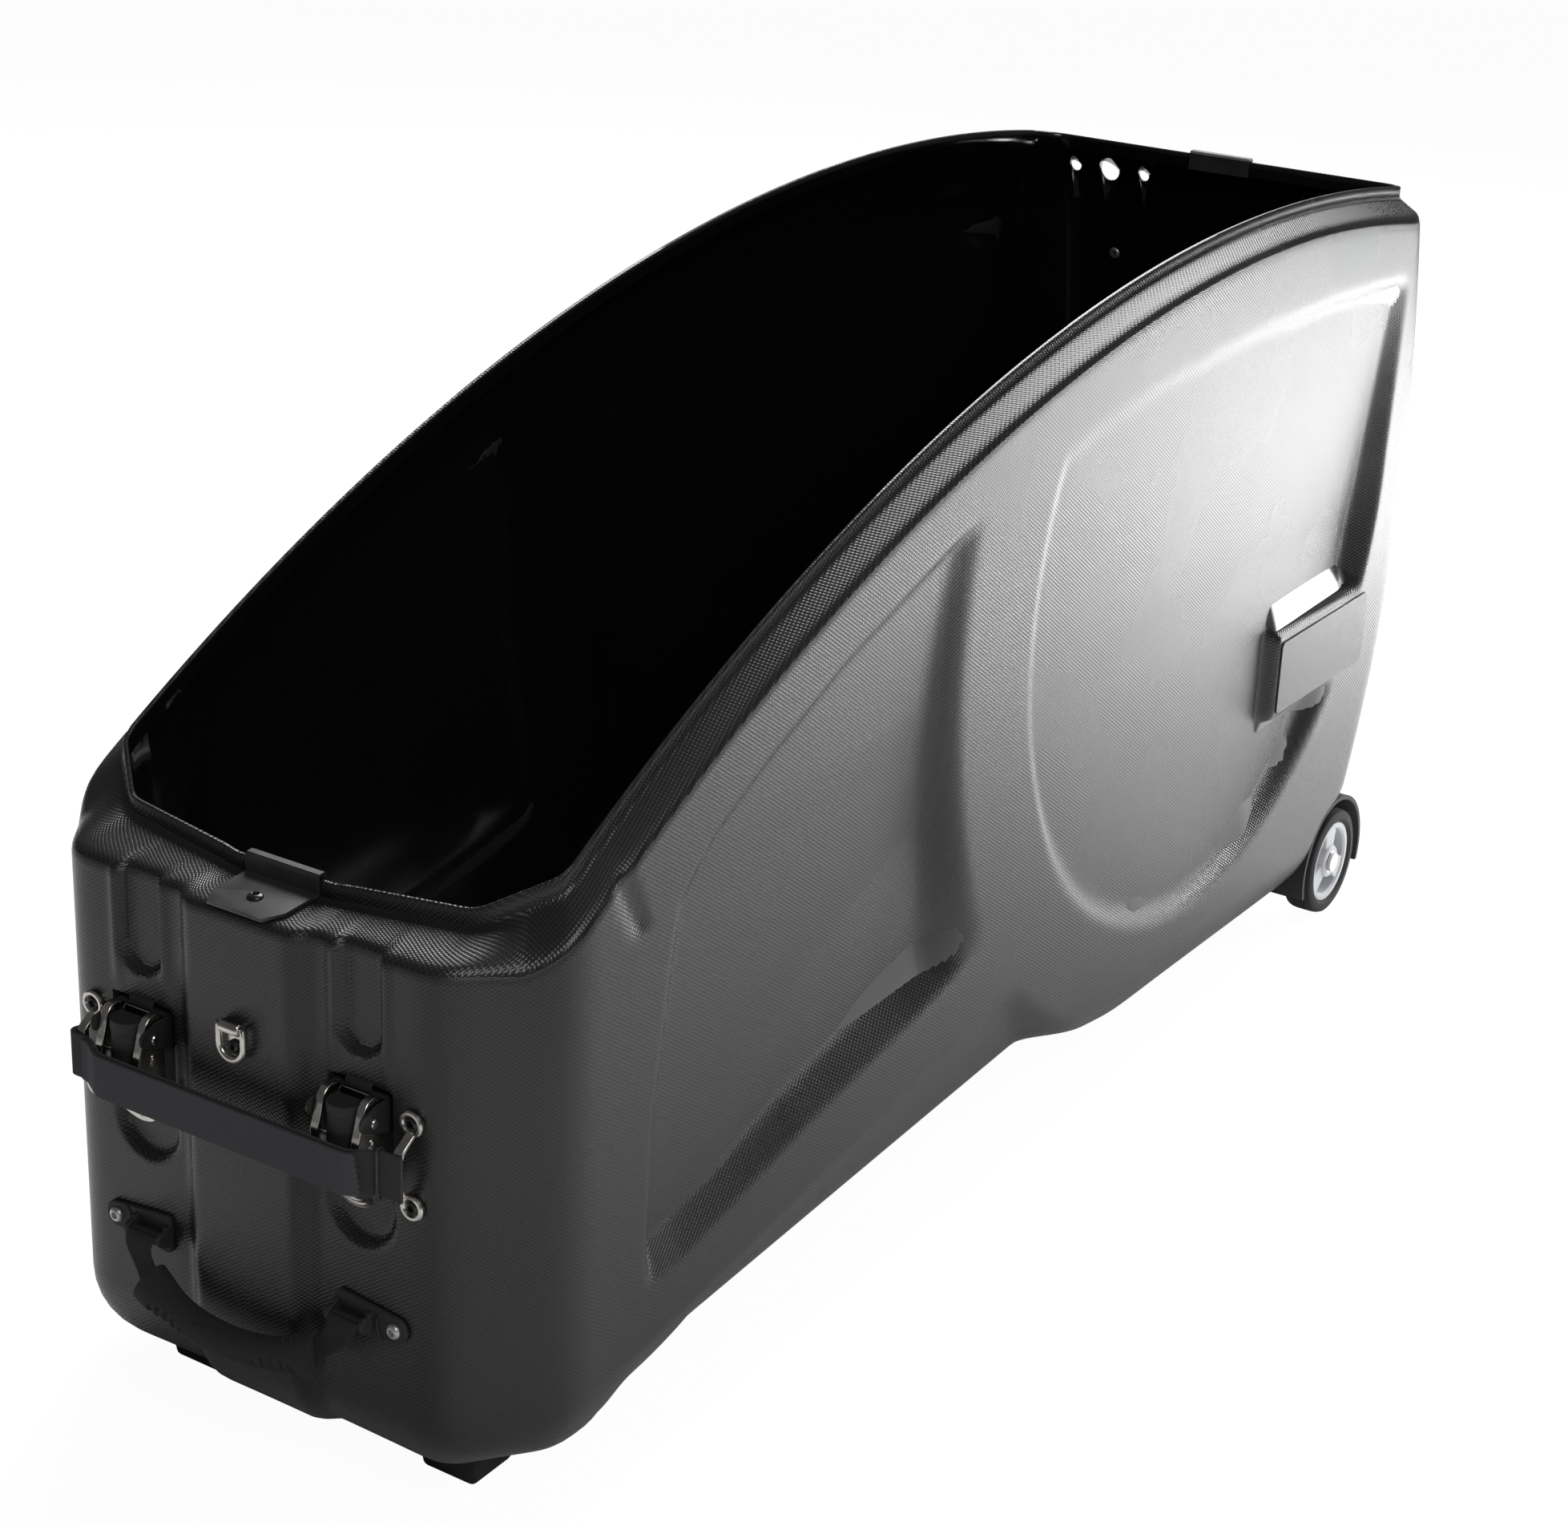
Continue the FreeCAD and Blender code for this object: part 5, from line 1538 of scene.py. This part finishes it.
@dataclass
class LatchStrap:
    """Hook-and-loop strap over both levers: a napped band, a smooth tape on its face and a wire ring."""

    bar: Pair = (-15.0, 132.0)
    eye: float = 4.65
    middle: float = 267.0
    width: float = 31.4
    layer: float = 2.4
    start_y: float = 124.0
    end_y: float = -139.0
    stand_off: float = 11.6
    tape_start: float = 123.0
    tape_end: float = -110.0
    tape_inset: float = 1.0
    tape_teeth: int = 15
    end_slant: float = 4.0
    tooth: float = 1.8
    ring_y: float = -122.0
    ring_front: float = -22.4
    ring_back: float = -16.9
    ring_wire: float = 1.25
    ring_corner: float = 1.6

    def band(self, name: str, path: Sequence[Pair], inset: float = 0.0, teeth: int = 0) -> Piece:
        """A soft flat band along a plan path.

        Args:
            name: Name of the new object.
            path: Middle line in plan.
            inset: How much narrower than the strap each edge is.
            teeth: Points of a slanted zig-zag end, where it has one.

        Returns:
            The closed band.
        """
        line = np.array(path, dtype=float)
        way, off = normals_of(line)
        run = np.concatenate([[0.0], np.cumsum(np.linalg.norm(np.diff(line, axis=0), axis=1))])
        half = self.width / 2 - inset
        edge = [(0.5, half - 0.6), (0.32, half - 0.15), (0.0, half)]
        edge += [(-side, height) for side, height in edge[1::-1]]
        flat = 0.9
        shares = np.linspace(flat, -flat, max(teeth, 5))
        face = [(-0.5, half * s) for s in shares]
        back = [(0.5, -half * s) for s in shares]
        section = np.array(edge + face + [(-a, -b) for a, b in edge] + back + edge[:1])
        last = len(line) - 1

        def shape(column: np.ndarray, row: np.ndarray) -> Points:
            """Points of the band, whose first and last columns close its ends.

            Args:
                column: Column numbers.
                row: Row numbers.

            Returns:
                X, Y, Z and two pattern lengths.
            """
            spot = np.clip(column - 1, 0, last)
            closed = (column == 0) | (column == last + 2)
            side = section[row, 0] * self.layer * np.where(closed, 0.0, 1.0)
            z = self.middle + section[row, 1] * np.where(closed, 0.96, 1.0)
            height = section[row, 1] / half
            point = np.rint((height + flat) / (2.0 * flat) * (teeth - 1)) % 2
            reach = (self.end_slant * (0.5 - height / 2) + self.tooth * point) * (spot == last) * (teeth > 0)
            x = line[spot, 0] + off[spot, 0] * side + way[spot, 0] * reach
            y = line[spot, 1] + off[spot, 1] * side + way[spot, 1] * reach
            return x, y, z, run[spot], z

        return Bench.tidy(Bench.surface(name, last + 2, len(section) - 1, shape), 40.0)

    def bow(self, y: float) -> float:
        """How far out the strap's middle line stands where it is held off by the levers."""
        lift = smooth(np.array([(122.0 - y) / 26.0, (y + 125.0) / 22.0]))
        return float(self.bar[0] - self.eye - self.stand_off * lift.min())

    def nap(self) -> Piece:
        """Napped layer: round the left bar, across both levers and through the ring."""
        run = [(self.bow(y), y) for y in np.linspace(self.start_y, self.end_y, 60)]
        return self.band("strap_nap_layer", arc(self.bar, self.eye, -70, 180, 16) + run)

    def tape(self) -> Piece:
        """Smooth tape with a slanted zig-zag end."""
        path = [(self.bow(y) - self.layer - 0.1, y) for y in np.linspace(self.tape_start, self.tape_end, 50)]
        return self.band("strap_tape", path, self.tape_inset, self.tape_teeth)

    def ring(self) -> Piece:
        """Black rectangular wire ring.

        Returns:
            The ring.
        """
        half, corner = self.width / 2 + 1.6, self.ring_corner
        front, back = self.ring_front + corner, self.ring_back - corner
        low, high = self.middle - half + corner, self.middle + half - corner
        turns = ((270, front, low), (180, front, high), (90, back, high), (360, back, low))
        path = []
        for start, *middle in turns:
            path += [(x, self.ring_y, z) for x, z in arc(middle, corner, start, start - 90, 5)]
        return Bench.wire("strap_wire_ring", path, self.ring_wire, closed=True)

    def build(self) -> None:
        """Model the strap's layers and its ring."""
        nap = dress(self.nap(), Finishes.NAP, "strap_weave", "strap", "latch_strap")
        tape = dress(self.tape(), Finishes.STRAP, "strap_weave", "strap")
        dress(self.ring(), Finishes.BLACK_STEEL, "latch_black", "strap", "strap_ring")


@dataclass
class LockRing:
    """Nickel D-ring in a folded clip on the front band."""

    bar: Pair = (-15.5, 325.0)
    half: float = 10.0
    leg: float = 12.0
    wire: float = 2.3
    face: float = -BAND_PROUD
    plate: float = 2.0
    plate_half: float = 7.0
    screw_z: float = 311.0
    barrel_half: float = 7.9
    screw_head: Pair = (4.6, 3.0)

    def ring(self) -> Piece:
        """Straight bar with a bow hanging from it.

        Returns:
            The ring.
        """
        x, z = self.bar
        bow = [(x, y, h) for y, h in arc((0.0, z - self.leg), self.half, 180, 360, 25)]
        start, end = ([(x, y, z), (x, y, z - self.leg / 2)] for y in (-self.half, self.half))
        return Bench.wire("ring_bow", start + bow + end[::-1], self.wire, closed=True, sides=5)

    def clip(self) -> Piece:
        """Barrel round the ring's bar, a rounded plate below it and the web between them.

        Returns:
            The clip.
        """
        x, z = self.bar
        half, long = self.plate_half, 2 * self.barrel_half
        tube = [(2.4, 0.0), (3.4, 0.0), (4.2, 0.7), (4.2, long - 0.7), (3.4, long), (2.4, long)]
        barrel = Bench.turned("barrel", tube, (x, -self.barrel_half, z), ACROSS_CASE, 32)
        shoulder = self.screw_z + 1.0
        back = [(-half, z + 1.0), (-half, shoulder)] + arc((0.0, self.screw_z), half, 180, 360, 16)
        back += [(half, shoulder), (half, z + 1.0)]
        plate = Bench.slab("plate", back, Facing.FRONT, self.face - self.plate, self.plate)
        fold = [(x, z + 2.6), (x, z + 3.9), (self.face, z + 3.4), (self.face, z + 1.6)]
        web = Bench.slab("web", fold, Facing.SIDE, -half, 2 * half)
        return Bench.joined("ring_clip", [barrel, Bench.soften(plate, 0.5, 2, 50.0), web])

    def build(self) -> None:
        """Model the ring, its clip and its screw."""
        dress(self.ring(), Finishes.NICKEL, "nickel", "d_ring", "d_ring")
        dress(self.clip(), Finishes.NICKEL, "nickel", "case", "d_ring_clip")
        seat = (self.face - self.plate, 0.0, self.screw_z)
        screw = socket_screw("ring_screw", seat, OUT_OF_FRONT, *self.screw_head)
        dress(screw, Finishes.BLACK_STEEL, "screw_steel", "case", "d_ring_screw")


@dataclass
class CarryHandle:
    """Bowed rubber grip on folded webbing, with two chapes screwed to the front wall."""

    axis: Pair = (-9.5, 146.0)
    tilt: float = 30.0
    half_span: float = 66.0
    end_reach: float = 28.0
    middle_reach: float = 43.0
    grip_columns: int = 132
    grip_rows: int = 56
    window_y: float = 43.0
    web_columns: int = 40
    web_rows: int = 24
    web_y: float = 86.0
    web_half: float = 12.3
    web_loop: float = 4.7
    loop_share: float = 0.35
    chape_plate: float = 3.6
    lug_width: float = 3.8
    lugs: Pair = (70.0, 97.6)
    screw_y: float = 118.0
    screw_head: Pair = (5.2, 3.2)

    @property
    def outward(self) -> Triple:
        """Direction off the handle's own plane."""
        lean = math.radians(self.tilt)
        return -math.cos(lean), 0.0, math.sin(lean)

    def spot(self, y: np.ndarray, reach: np.ndarray, off: np.ndarray) -> Points:
        """Point of the handle: along Y, away from its axis and off its own plane."""
        cos, _, sin = self.outward
        return self.axis[0] - reach * sin + off * cos, y, self.axis[1] + reach * cos + off * sin

    def grip_shape(self, column: np.ndarray, row: np.ndarray) -> Points:
        """Points of the bowed grip, with flared ends, a raised oval pad and two ribbed windows.

        Args:
            column: Column numbers; the first and the last close the ends.
            row: Row numbers.

        Returns:
            X, Y, Z and two pattern lengths.
        """
        span = self.half_span + 5.0
        drop = self.middle_reach - self.end_reach
        share = np.clip((column - 1.0) / (self.grip_columns - 2.0), 0.0, 1.0) * 2.0 - 1.0
        grow = np.where((column == 0) | (column == self.grip_columns), 0.0, 1.0)
        y = span * share
        bow = self.middle_reach - drop * np.abs(share) ** 2.1
        slope = -drop * 2.1 * np.abs(share) ** 1.1 * np.sign(share) / span
        turn = math.tau * row / self.grip_rows
        flare = 0.5 + 0.5 * np.cos(math.pi * ramp(1.0 - np.abs(share), 0.5))
        tall = 10.6 + 2.6 * flare
        deep = 9.6 + 0.6 * flare
        around, out = np.sin(turn), np.cos(turn)
        pad = 0.9 * fall(np.hypot(y / 23.0, around / 0.55), 1.0, 0.16) * (out > 0.0)
        from_window = np.abs(y) - self.window_y
        inside = fall(np.hypot(from_window / 17.0, (around - 0.86) / 0.62), 1.0, 0.14) * (out > -0.15)
        slots = 0.5 + 0.5 * np.cos(math.tau * from_window / 7.0)
        size = 1.0 - inside * (0.5 + 1.5 * rise(slots, 0.35, 0.4)) / 10.0
        along = y - slope * tall * around * grow
        off = (deep * out * size + pad) * grow
        return *self.spot(along, bow + tall * around * size * grow, off), y, 10.0 * turn

    def pips(self) -> list[Piece]:
        """Small dots near the grip's ends.

        Returns:
            The dots.
        """
        profile = [(0.0, -0.8), (1.1, -0.8), (1.1, 0.1), (0.7, 0.5), (0.0, 0.6)]
        dots = []
        for y, reach in ((46.0, 31.0), (52.0, 32.0), (58.0, 29.0), (50.0, 27.5), (56.0, 25.0)):
            for way in (-1.0, 1.0):
                dots.append(Bench.turned("dot", profile, self.spot(way * y, reach, 9.1), self.outward, 12))
        return dots

    def webbing_shape(self, column: np.ndarray, row: np.ndarray) -> Points:
        """Points of the left webbing: round the chape's bar, then into the grip.

        Args:
            column: Column numbers; the first and the last close the ends.
            row: Row numbers.

        Returns:
            X, Y, Z and two pattern lengths.
        """
        rows, half, loop = self.web_rows, self.web_rows // 2, self.web_loop
        share = np.clip((column - 1.0) / (self.web_columns - 2.0), 0.0, 1.0)
        turn = math.radians(200.0) * (ramp(share, self.loop_share) - 1.0)
        run = ramp(share - self.loop_share, 1.0 - self.loop_share)
        on_bar = share < self.loop_share
        ripple = 0.9 * np.sin(3.0 * math.pi * run) * (1.0 - run)
        reach = np.where(on_bar, -loop * np.sin(turn), 36.0 * run)
        off = np.where(on_bar, loop * np.cos(turn), loop * (1.0 - smooth(run)) + ripple)
        across = np.where(row <= half, row, rows - row) / half * 2.0 - 1.0
        width = self.web_half * (1.0 - 0.1 * np.sin(math.pi * run))
        y = self.web_y + width * across - 22.0 * rise(run, 0.2, 0.8)
        shut = (row == 0) | (row == half) | (row == rows) | (column == 0) | (column == self.web_columns)
        skin = np.where(row <= half, 0.9, -0.9) * np.where(shut, 0.0, 1.0)
        return *self.spot(y, reach, off + skin), 50.0 * share, width * across

    def webbing(self) -> Piece:
        """Folded webbing at both ends of the grip.

        Returns:
            Both bands.
        """
        left = Bench.surface("band", self.web_columns, self.web_rows, self.webbing_shape)
        left = Bench.tidy(left, 60.0)
        return Bench.joined("handle_band", [left, Bench.copied(left, "band_right", mirror=True)])

    def chape(self) -> Piece:
        """Rounded three-cornered plate with a frame for the webbing and a curved ridge.

        Returns:
            The left chape.
        """
        x, z = self.axis
        plate = arc((-self.screw_y, z), 9.6, 110, 250, 12)
        plate += arc((-74.5, z - 9.6), 4.4, 270, 360, 6) + arc((-74.5, z + 9.6), 4.4, 0, 90, 6)
        body = Bench.slab("body", plate, Facing.FRONT, -self.chape_plate, self.chape_plate)
        pieces = [Bench.soften(body, 1.1, 3, 40.0)]
        lug = [(-0.5, z - 8.0), (-0.5, z + 8.0), (-8.0, z + 7.4)] + arc((x, z), 5.6, 70, 290, 12)
        lug.append((-8.0, z - 7.4))
        for y in self.lugs:
            pieces.append(Bench.soften(Bench.slab("lug", lug, Facing.SIDE, y, self.lug_width), 0.7, 2, 50.0))
        rod = [(0.0, 0.0), (2.9, 0.0), (2.9, 28.0), (0.0, 28.0)]
        pieces.append(Bench.turned("bar", rod, (x, 72.0, z), ACROSS_CASE, 20))
        ridge = [(-4.2, y, h) for y, h in arc((self.screw_y - 1.0, z), 12.4, 128, 232, 12)]
        pieces.append(Bench.wire("ridge", ridge, 0.9))
        return Bench.joined("chape", pieces)

    def build(self) -> None:
        """Model the handle and set its chapes and screws."""
        rubber = Bench.surface("rubber", self.grip_columns, self.grip_rows, self.grip_shape)
        grip = Bench.joined("handle_rubber", [Bench.tidy(rubber, 45.0)] + self.pips())
        dress(grip, Finishes.GRIP, "grip_rubber", "handle", "handle_grip")
        band = dress(self.webbing(), Finishes.WEBBING, "webbing", "handle", "handle_webbing")
        first = self.chape()
        screws = []
        for side in Side:
            dress_side(side, first, Finishes.BLACK_PLASTIC, "black_plastic", "case", "handle_bracket")
            seat = (-self.chape_plate, side.value * self.screw_y, self.axis[1])
            screws.append(socket_screw("head", seat, OUT_OF_FRONT, *self.screw_head))
        bpy.data.objects.remove(first)
        dress(Bench.joined("chape_screws", screws), Finishes.STEEL, "screw_steel", "case", "handle_screws")


@dataclass
class RimClips:
    """Folded steel clips over the front and rear lips, and the front one's screw."""

    shell: CaseShell
    half: float = 29.5
    sheet: float = 2.3
    front_lip: float = 36.0
    rear_lip: float = 1302.0
    lip_middle: float = 2.0
    screw_at: Triple = (10.0, 0.0, 403.2)
    screw_head: Pair = (5.6, 3.4)

    def heights(self, lip: float, middle: float) -> Pair:
        """Heights of a lip's foot and top."""
        foot = self.shell.rim_height(np.array(lip), self.shell.lip_height)
        return float(foot), float(self.shell.rim_height(np.array(middle)))

    def folded(self, name: str, path: Sequence[Pair]) -> Piece:
        """A bent sheet as wide as a clip."""
        return Bench.slab(name, thick_line(path, self.sheet), Facing.SIDE, -self.half, 2 * self.half)

    def front(self) -> Piece:
        """Front clip: a sloping plate with cut corners and a fold over the lip.

        Returns:
            The clip.
        """
        foot, top = self.heights(self.front_lip, self.front_lip + self.lip_middle)
        path = [(-9.8, 401.8), (33.2, foot + 2.0), (34.4, foot + 3.2), (34.4, top + 0.6), (35.6, top + 1.7),
                (40.0, top + 1.9), (41.2, top + 0.8), (41.2, top - 14.0)]
        clip = self.folded("front_clip_sheet", path)
        for way in (-1.0, 1.0):
            corner = [(-12.0, way * 21.0), (-12.0, way * 40.0), (4.0, way * 40.0)]
            corner.append((4.0, way * (self.half - 0.01)))
            Bench.cut(clip, Bench.slab("corner", corner, Facing.TOP, 390.0, 30.0))
        return Bench.tidy(Bench.soften(clip, 0.6, 2))

    def rear(self) -> Piece:
        """Rear clip, folded over the lip onto the rear shoulder.

        Returns:
            The clip.
        """
        foot, top = self.heights(self.rear_lip, self.rear_lip - self.lip_middle)
        path = [(1297.0, top - 14.0), (1297.0, top + 0.6), (1298.2, top + 1.7), (1302.6, top + 1.9),
                (1303.8, top + 0.8), (1303.8, foot + 3.2), (1305.0, foot + 2.0), (1321.0, 652.2)]
        return Bench.tidy(Bench.soften(self.folded("rear_clip_sheet", path), 0.6, 2))

    def build(self) -> None:
        """Model both clips and the socket screw."""
        dress(self.front(), Finishes.CLIP_PAINT, "clip_steel", "case", "front_rim_clip")
        dress(self.rear(), Finishes.CLIP_PAINT, "clip_steel", "case", "rear_rim_clip")
        screw = socket_screw("clip_screw", self.screw_at, UPWARDS, *self.screw_head)
        dress(screw, Finishes.BLACK_STEEL, "screw_steel", "case", "rim_clip_screw")


@dataclass
class Feet:
    """Two rounded rubber feet under the front edge."""

    start: float = 52.0
    length: float = 52.0
    half: float = 22.0
    height: float = 28.0
    foot_y: float = 110.0
    front_draft: float = 6.0
    rear_draft: float = 4.0

    def build(self) -> None:
        """Model one foot and copy it to the other side."""
        end = self.start + self.length
        profile = [(self.start, self.height), (end, self.height)]
        profile += [(end - self.rear_draft, 0.0), (self.start + self.front_draft, 0.0)]
        first = Bench.slab("foot", profile, Facing.SIDE, self.foot_y - self.half, 2 * self.half)
        Bench.soften(first, 4.5, 4)
        second = Bench.copied(first, "foot_two", mirror=True)
        feet = Bench.joined("rubber_feet", [first, second])
        dress(feet, Finishes.FOOT, "foot_rubber", "case", "front_feet")


@dataclass
class Wheels:
    """Two rear wheels: grooved rubber tyres on light three-spoked hubs."""

    at: Triple = (1246.0, 190.0, 50.0)
    spokes: Triple = (90.0, 210.0, 330.0)
    spoke_back: float = 9.0
    spoke_depth: float = 19.0

    def tyre(self) -> Piece:
        """Round-shouldered tyre with two grooves, modelled on the left wheel.

        Returns:
            The tyre.
        """
        outer = [
            (37.9, 11.6), (41.0, 13.8), (46.0, 13.8), (48.6, 12.4), (49.6, 9.6),
            (49.9, 6.0), (49.9, 4.4), (49.0, 4.0), (49.0, 3.0), (49.9, 2.6),
        ]
        profile = [(radius, -y) for radius, y in outer] + outer[::-1]
        return Bench.turned("tyre", profile, self.at, ACROSS_CASE, 72)

    def hub(self) -> Piece:
        """Rim, boss and three broad spokes.

        Returns:
            The hub.
        """
        x, y, z = self.at
        rim = [(31.5, -10.0), (37.6, -11.4), (37.6, 11.4), (35.8, 11.9), (33.0, 11.4), (31.5, 9.6)]
        boss = [(9.0, -11.8), (15.0, -11.8), (15.6, -10.0), (15.6, 10.6), (14.6, 11.9), (11.0, 12.1)]
        boss.append((9.0, 11.4))
        corners = ((13.0, -8.4), (33.0, -11.6), (33.0, 11.6), (13.0, 8.4))
        pieces = [Bench.turned("rim", rim, self.at, ACROSS_CASE, 60)]
        pieces.append(Bench.turned("boss", boss, self.at, ACROSS_CASE, 40))
        for turn in self.spokes:
            cos, sin = math.cos(math.radians(turn)), math.sin(math.radians(turn))
            outline = [(x + cos * r - sin * w, z + sin * r + cos * w) for r, w in corners]
            spoke = Bench.slab("spoke", outline, Facing.SIDE, y - self.spoke_back, self.spoke_depth)
            pieces.append(Bench.soften(spoke, 1.6, 3))
        return Bench.joined("hub", pieces)

    def build(self) -> None:
        """Model one wheel and mirror it to the other side."""
        dress_sides(self.tyre(), Finishes.TYRE, "tyre_rubber", "wheel", "wheel_tyre")
        dress_sides(self.hub(), Finishes.HUB, "hub_plastic", "wheel", "wheel_hub")


@dataclass
class SideBadges:
    """Bare plates on the raised seats of the side walls."""

    low: Pair = (1075.0, 249.0)
    high: Pair = (1255.0, 315.0)
    corner: float = 5.0
    face: float = 203.0
    plate: float = 1.5

    def build(self) -> None:
        """Model one rounded plate and mirror it to the other side."""
        outline = rounded_box(self.low, self.high, self.corner, 6)
        first = Bench.soften(Bench.slab("bare_plate", outline, Facing.SIDE, self.face, self.plate), 0.5, 2)
        dress_sides(first, Finishes.BADGE, "badge_grey", "case", "side_badge")


@dataclass(frozen=True)
class Lamp:
    """One soft lamp: its place and aim in metres, the size of its face and its watts."""

    name: str
    at: Triple
    aim: Triple
    size: Pair
    power: float

    def hang(self) -> None:
        """Add the lamp to the scene."""
        light = bpy.data.lights.new(self.name, "AREA")
        light.shape = "RECTANGLE"
        light.size, light.size_y = self.size
        light.energy = self.power
        lamp = bpy.data.objects.new(self.name, light)
        lamp.location = self.at
        lamp.rotation_euler = (Vector(self.aim) - Vector(self.at)).to_track_quat("-Z", "Y").to_euler()
        bpy.context.scene.collection.objects.link(lamp)


@dataclass
class Studio:
    """Floor, soft light and the camera at the photograph's viewing angle."""

    camera_at: Triple = (-1272.7, -1194.6, 1208.9)
    lens: float = 71.25
    yaw: float = 32.45
    pitch: float = 22.16
    roll: float = 2.36
    surround: float = 0.08
    floor_radius: float = 40.0
    floor_z: float = -0.0005
    floor_glow: float = 1.07
    floor_glow_share: float = 0.9
    lamps: tuple[Lamp, ...] = (
        Lamp("floor_glow", (2.2, -1.1, 0.6), (2.2, -1.099, 0.0), (0.8, 0.8), 100.0),
        Lamp("rim", (2.0, 0.6, 2.7), (0.0, 0.0, 0.5), (2.6, 2.4), 190.0),
        Lamp("front", (-1.6, -2.2, 2.4), (-0.4, 0.0, 0.3), (1.6, 1.2), 26.0),
    )

    def floor(self) -> None:
        """Lay a wide pale floor that keeps a soft shadow."""
        Bench.clear()
        bpy.ops.mesh.primitive_circle_add(
            vertices=96, radius=self.floor_radius, fill_type="NGON", location=(0, 0, self.floor_z))
        ground = bpy.context.object
        ground.name = "floor"
        sheet = NodeSheet("floor_white")
        sheet.set(Base_Color=(0.86, 0.86, 0.86, 1.0), Roughness=0.9, Specular_IOR_Level=0.1)
        glow = sheet.node("ShaderNodeEmission", {"Color": (1.0, 1.0, 1.0, 1.0), "Strength": self.floor_glow})
        path = sheet.node("ShaderNodeLightPath")
        seen = sheet.math("MULTIPLY", path.outputs["Is Camera Ray"], self.floor_glow_share)
        mix = sheet.node("ShaderNodeMixShader", {0: seen, 1: sheet.shader.outputs[0], 2: glow.outputs[0]})
        sheet.feed(sheet.tree.nodes["Material Output"].inputs["Surface"], mix.outputs[0])
        ground.data.materials.append(sheet.material)

    def world(self) -> None:
        """Set a dim surround that is white where the camera sees it."""
        world = bpy.data.worlds.new("studio")
        bpy.context.scene.world = world
        world.use_nodes = True
        tree = world.node_tree
        back = tree.nodes["Background"]
        back.inputs["Color"].default_value = (1.0, 1.0, 1.0, 1.0)
        path = tree.nodes.new("ShaderNodeLightPath")
        level = tree.nodes.new("ShaderNodeMapRange")
        level.inputs["To Min"].default_value = self.surround
        level.inputs["To Max"].default_value = 1.0
        tree.links.new(path.outputs["Is Camera Ray"], level.inputs["Value"])
        tree.links.new(level.outputs[0], back.inputs["Strength"])

    def camera(self) -> None:
        """Stand the camera where the photograph was taken from."""
        yaw, pitch, roll = (math.radians(a) for a in (self.yaw, self.pitch, self.roll))
        ahead = Vector((math.cos(yaw) * math.cos(pitch), math.sin(yaw) * math.cos(pitch), -math.sin(pitch)))
        right = Vector((math.sin(yaw), -math.cos(yaw), 0.0))
        up = right.cross(ahead)
        tilted_right = right * math.cos(roll) + up * math.sin(roll)
        tilted_up = up * math.cos(roll) - right * math.sin(roll)
        view = bpy.data.cameras.new("camera")
        view.lens = self.lens
        view.sensor_width = 36.0
        view.clip_end = 200.0
        camera = bpy.data.objects.new("camera", view)
        turn = Matrix((tilted_right, tilted_up, -ahead)).transposed()
        camera.matrix_world = Matrix.Translation(place(*self.camera_at)) @ turn.to_4x4()
        bpy.context.scene.collection.objects.link(camera)
        bpy.context.scene.camera = camera

    def build(self) -> None:
        """Set up the whole studio."""
        self.floor()
        self.world()
        self.camera()
        for lamp in self.lamps:
            lamp.hang()
        bpy.context.scene.view_settings.view_transform = "Standard"


NODE_FINISHES: dict[str, Finish] = {
    "case_abs": Finishes.OUTSIDE,
    "foot_rubber": Finishes.FOOT,
    "tyre_rubber": Finishes.TYRE,
    "hub_plastic": Finishes.HUB,
    "black_plastic": Finishes.BLACK_PLASTIC,
    "nickel": Finishes.NICKEL,
    "screw_steel": Finishes.STEEL,
    "latch_black": Finishes.LATCH_BLACK,
    "clip_steel": Finishes.CLIP_PAINT,
    "strap_weave": Finishes.STRAP,
    "webbing": Finishes.WEBBING,
    "grip_rubber": Finishes.GRIP,
    "aluminium": Finishes.ALUMINIUM,
    "pad_rubber": Finishes.PAD,
    "badge_grey": Finishes.BADGE,
}


def dress_frame_nodes() -> None:
    """Give every CAD node the finish of its material slot."""
    for part in frame["record"]["subparts"]:
        node = frame["nodes"][part["node"]]
        node.data.materials.clear()
        node.data.materials.append(NODE_FINISHES[part["material_slot"]].material())


def main() -> None:
    """Build the case's looks, piece by piece."""
    logging.basicConfig(level=logging.INFO, format="%(message)s")
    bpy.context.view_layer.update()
    dress_frame_nodes()
    shell = CaseShell()
    sub_assemblies = (
        shell, Latch(), StrapLoop(), LatchStrap(), LockRing(), CarryHandle(), RimClips(shell),
        Feet(), Wheels(), SideBadges(), Studio(),
    )
    for sub_assembly in sub_assemblies:
        sub_assembly.build()


if __name__ == "__main__":
    main()
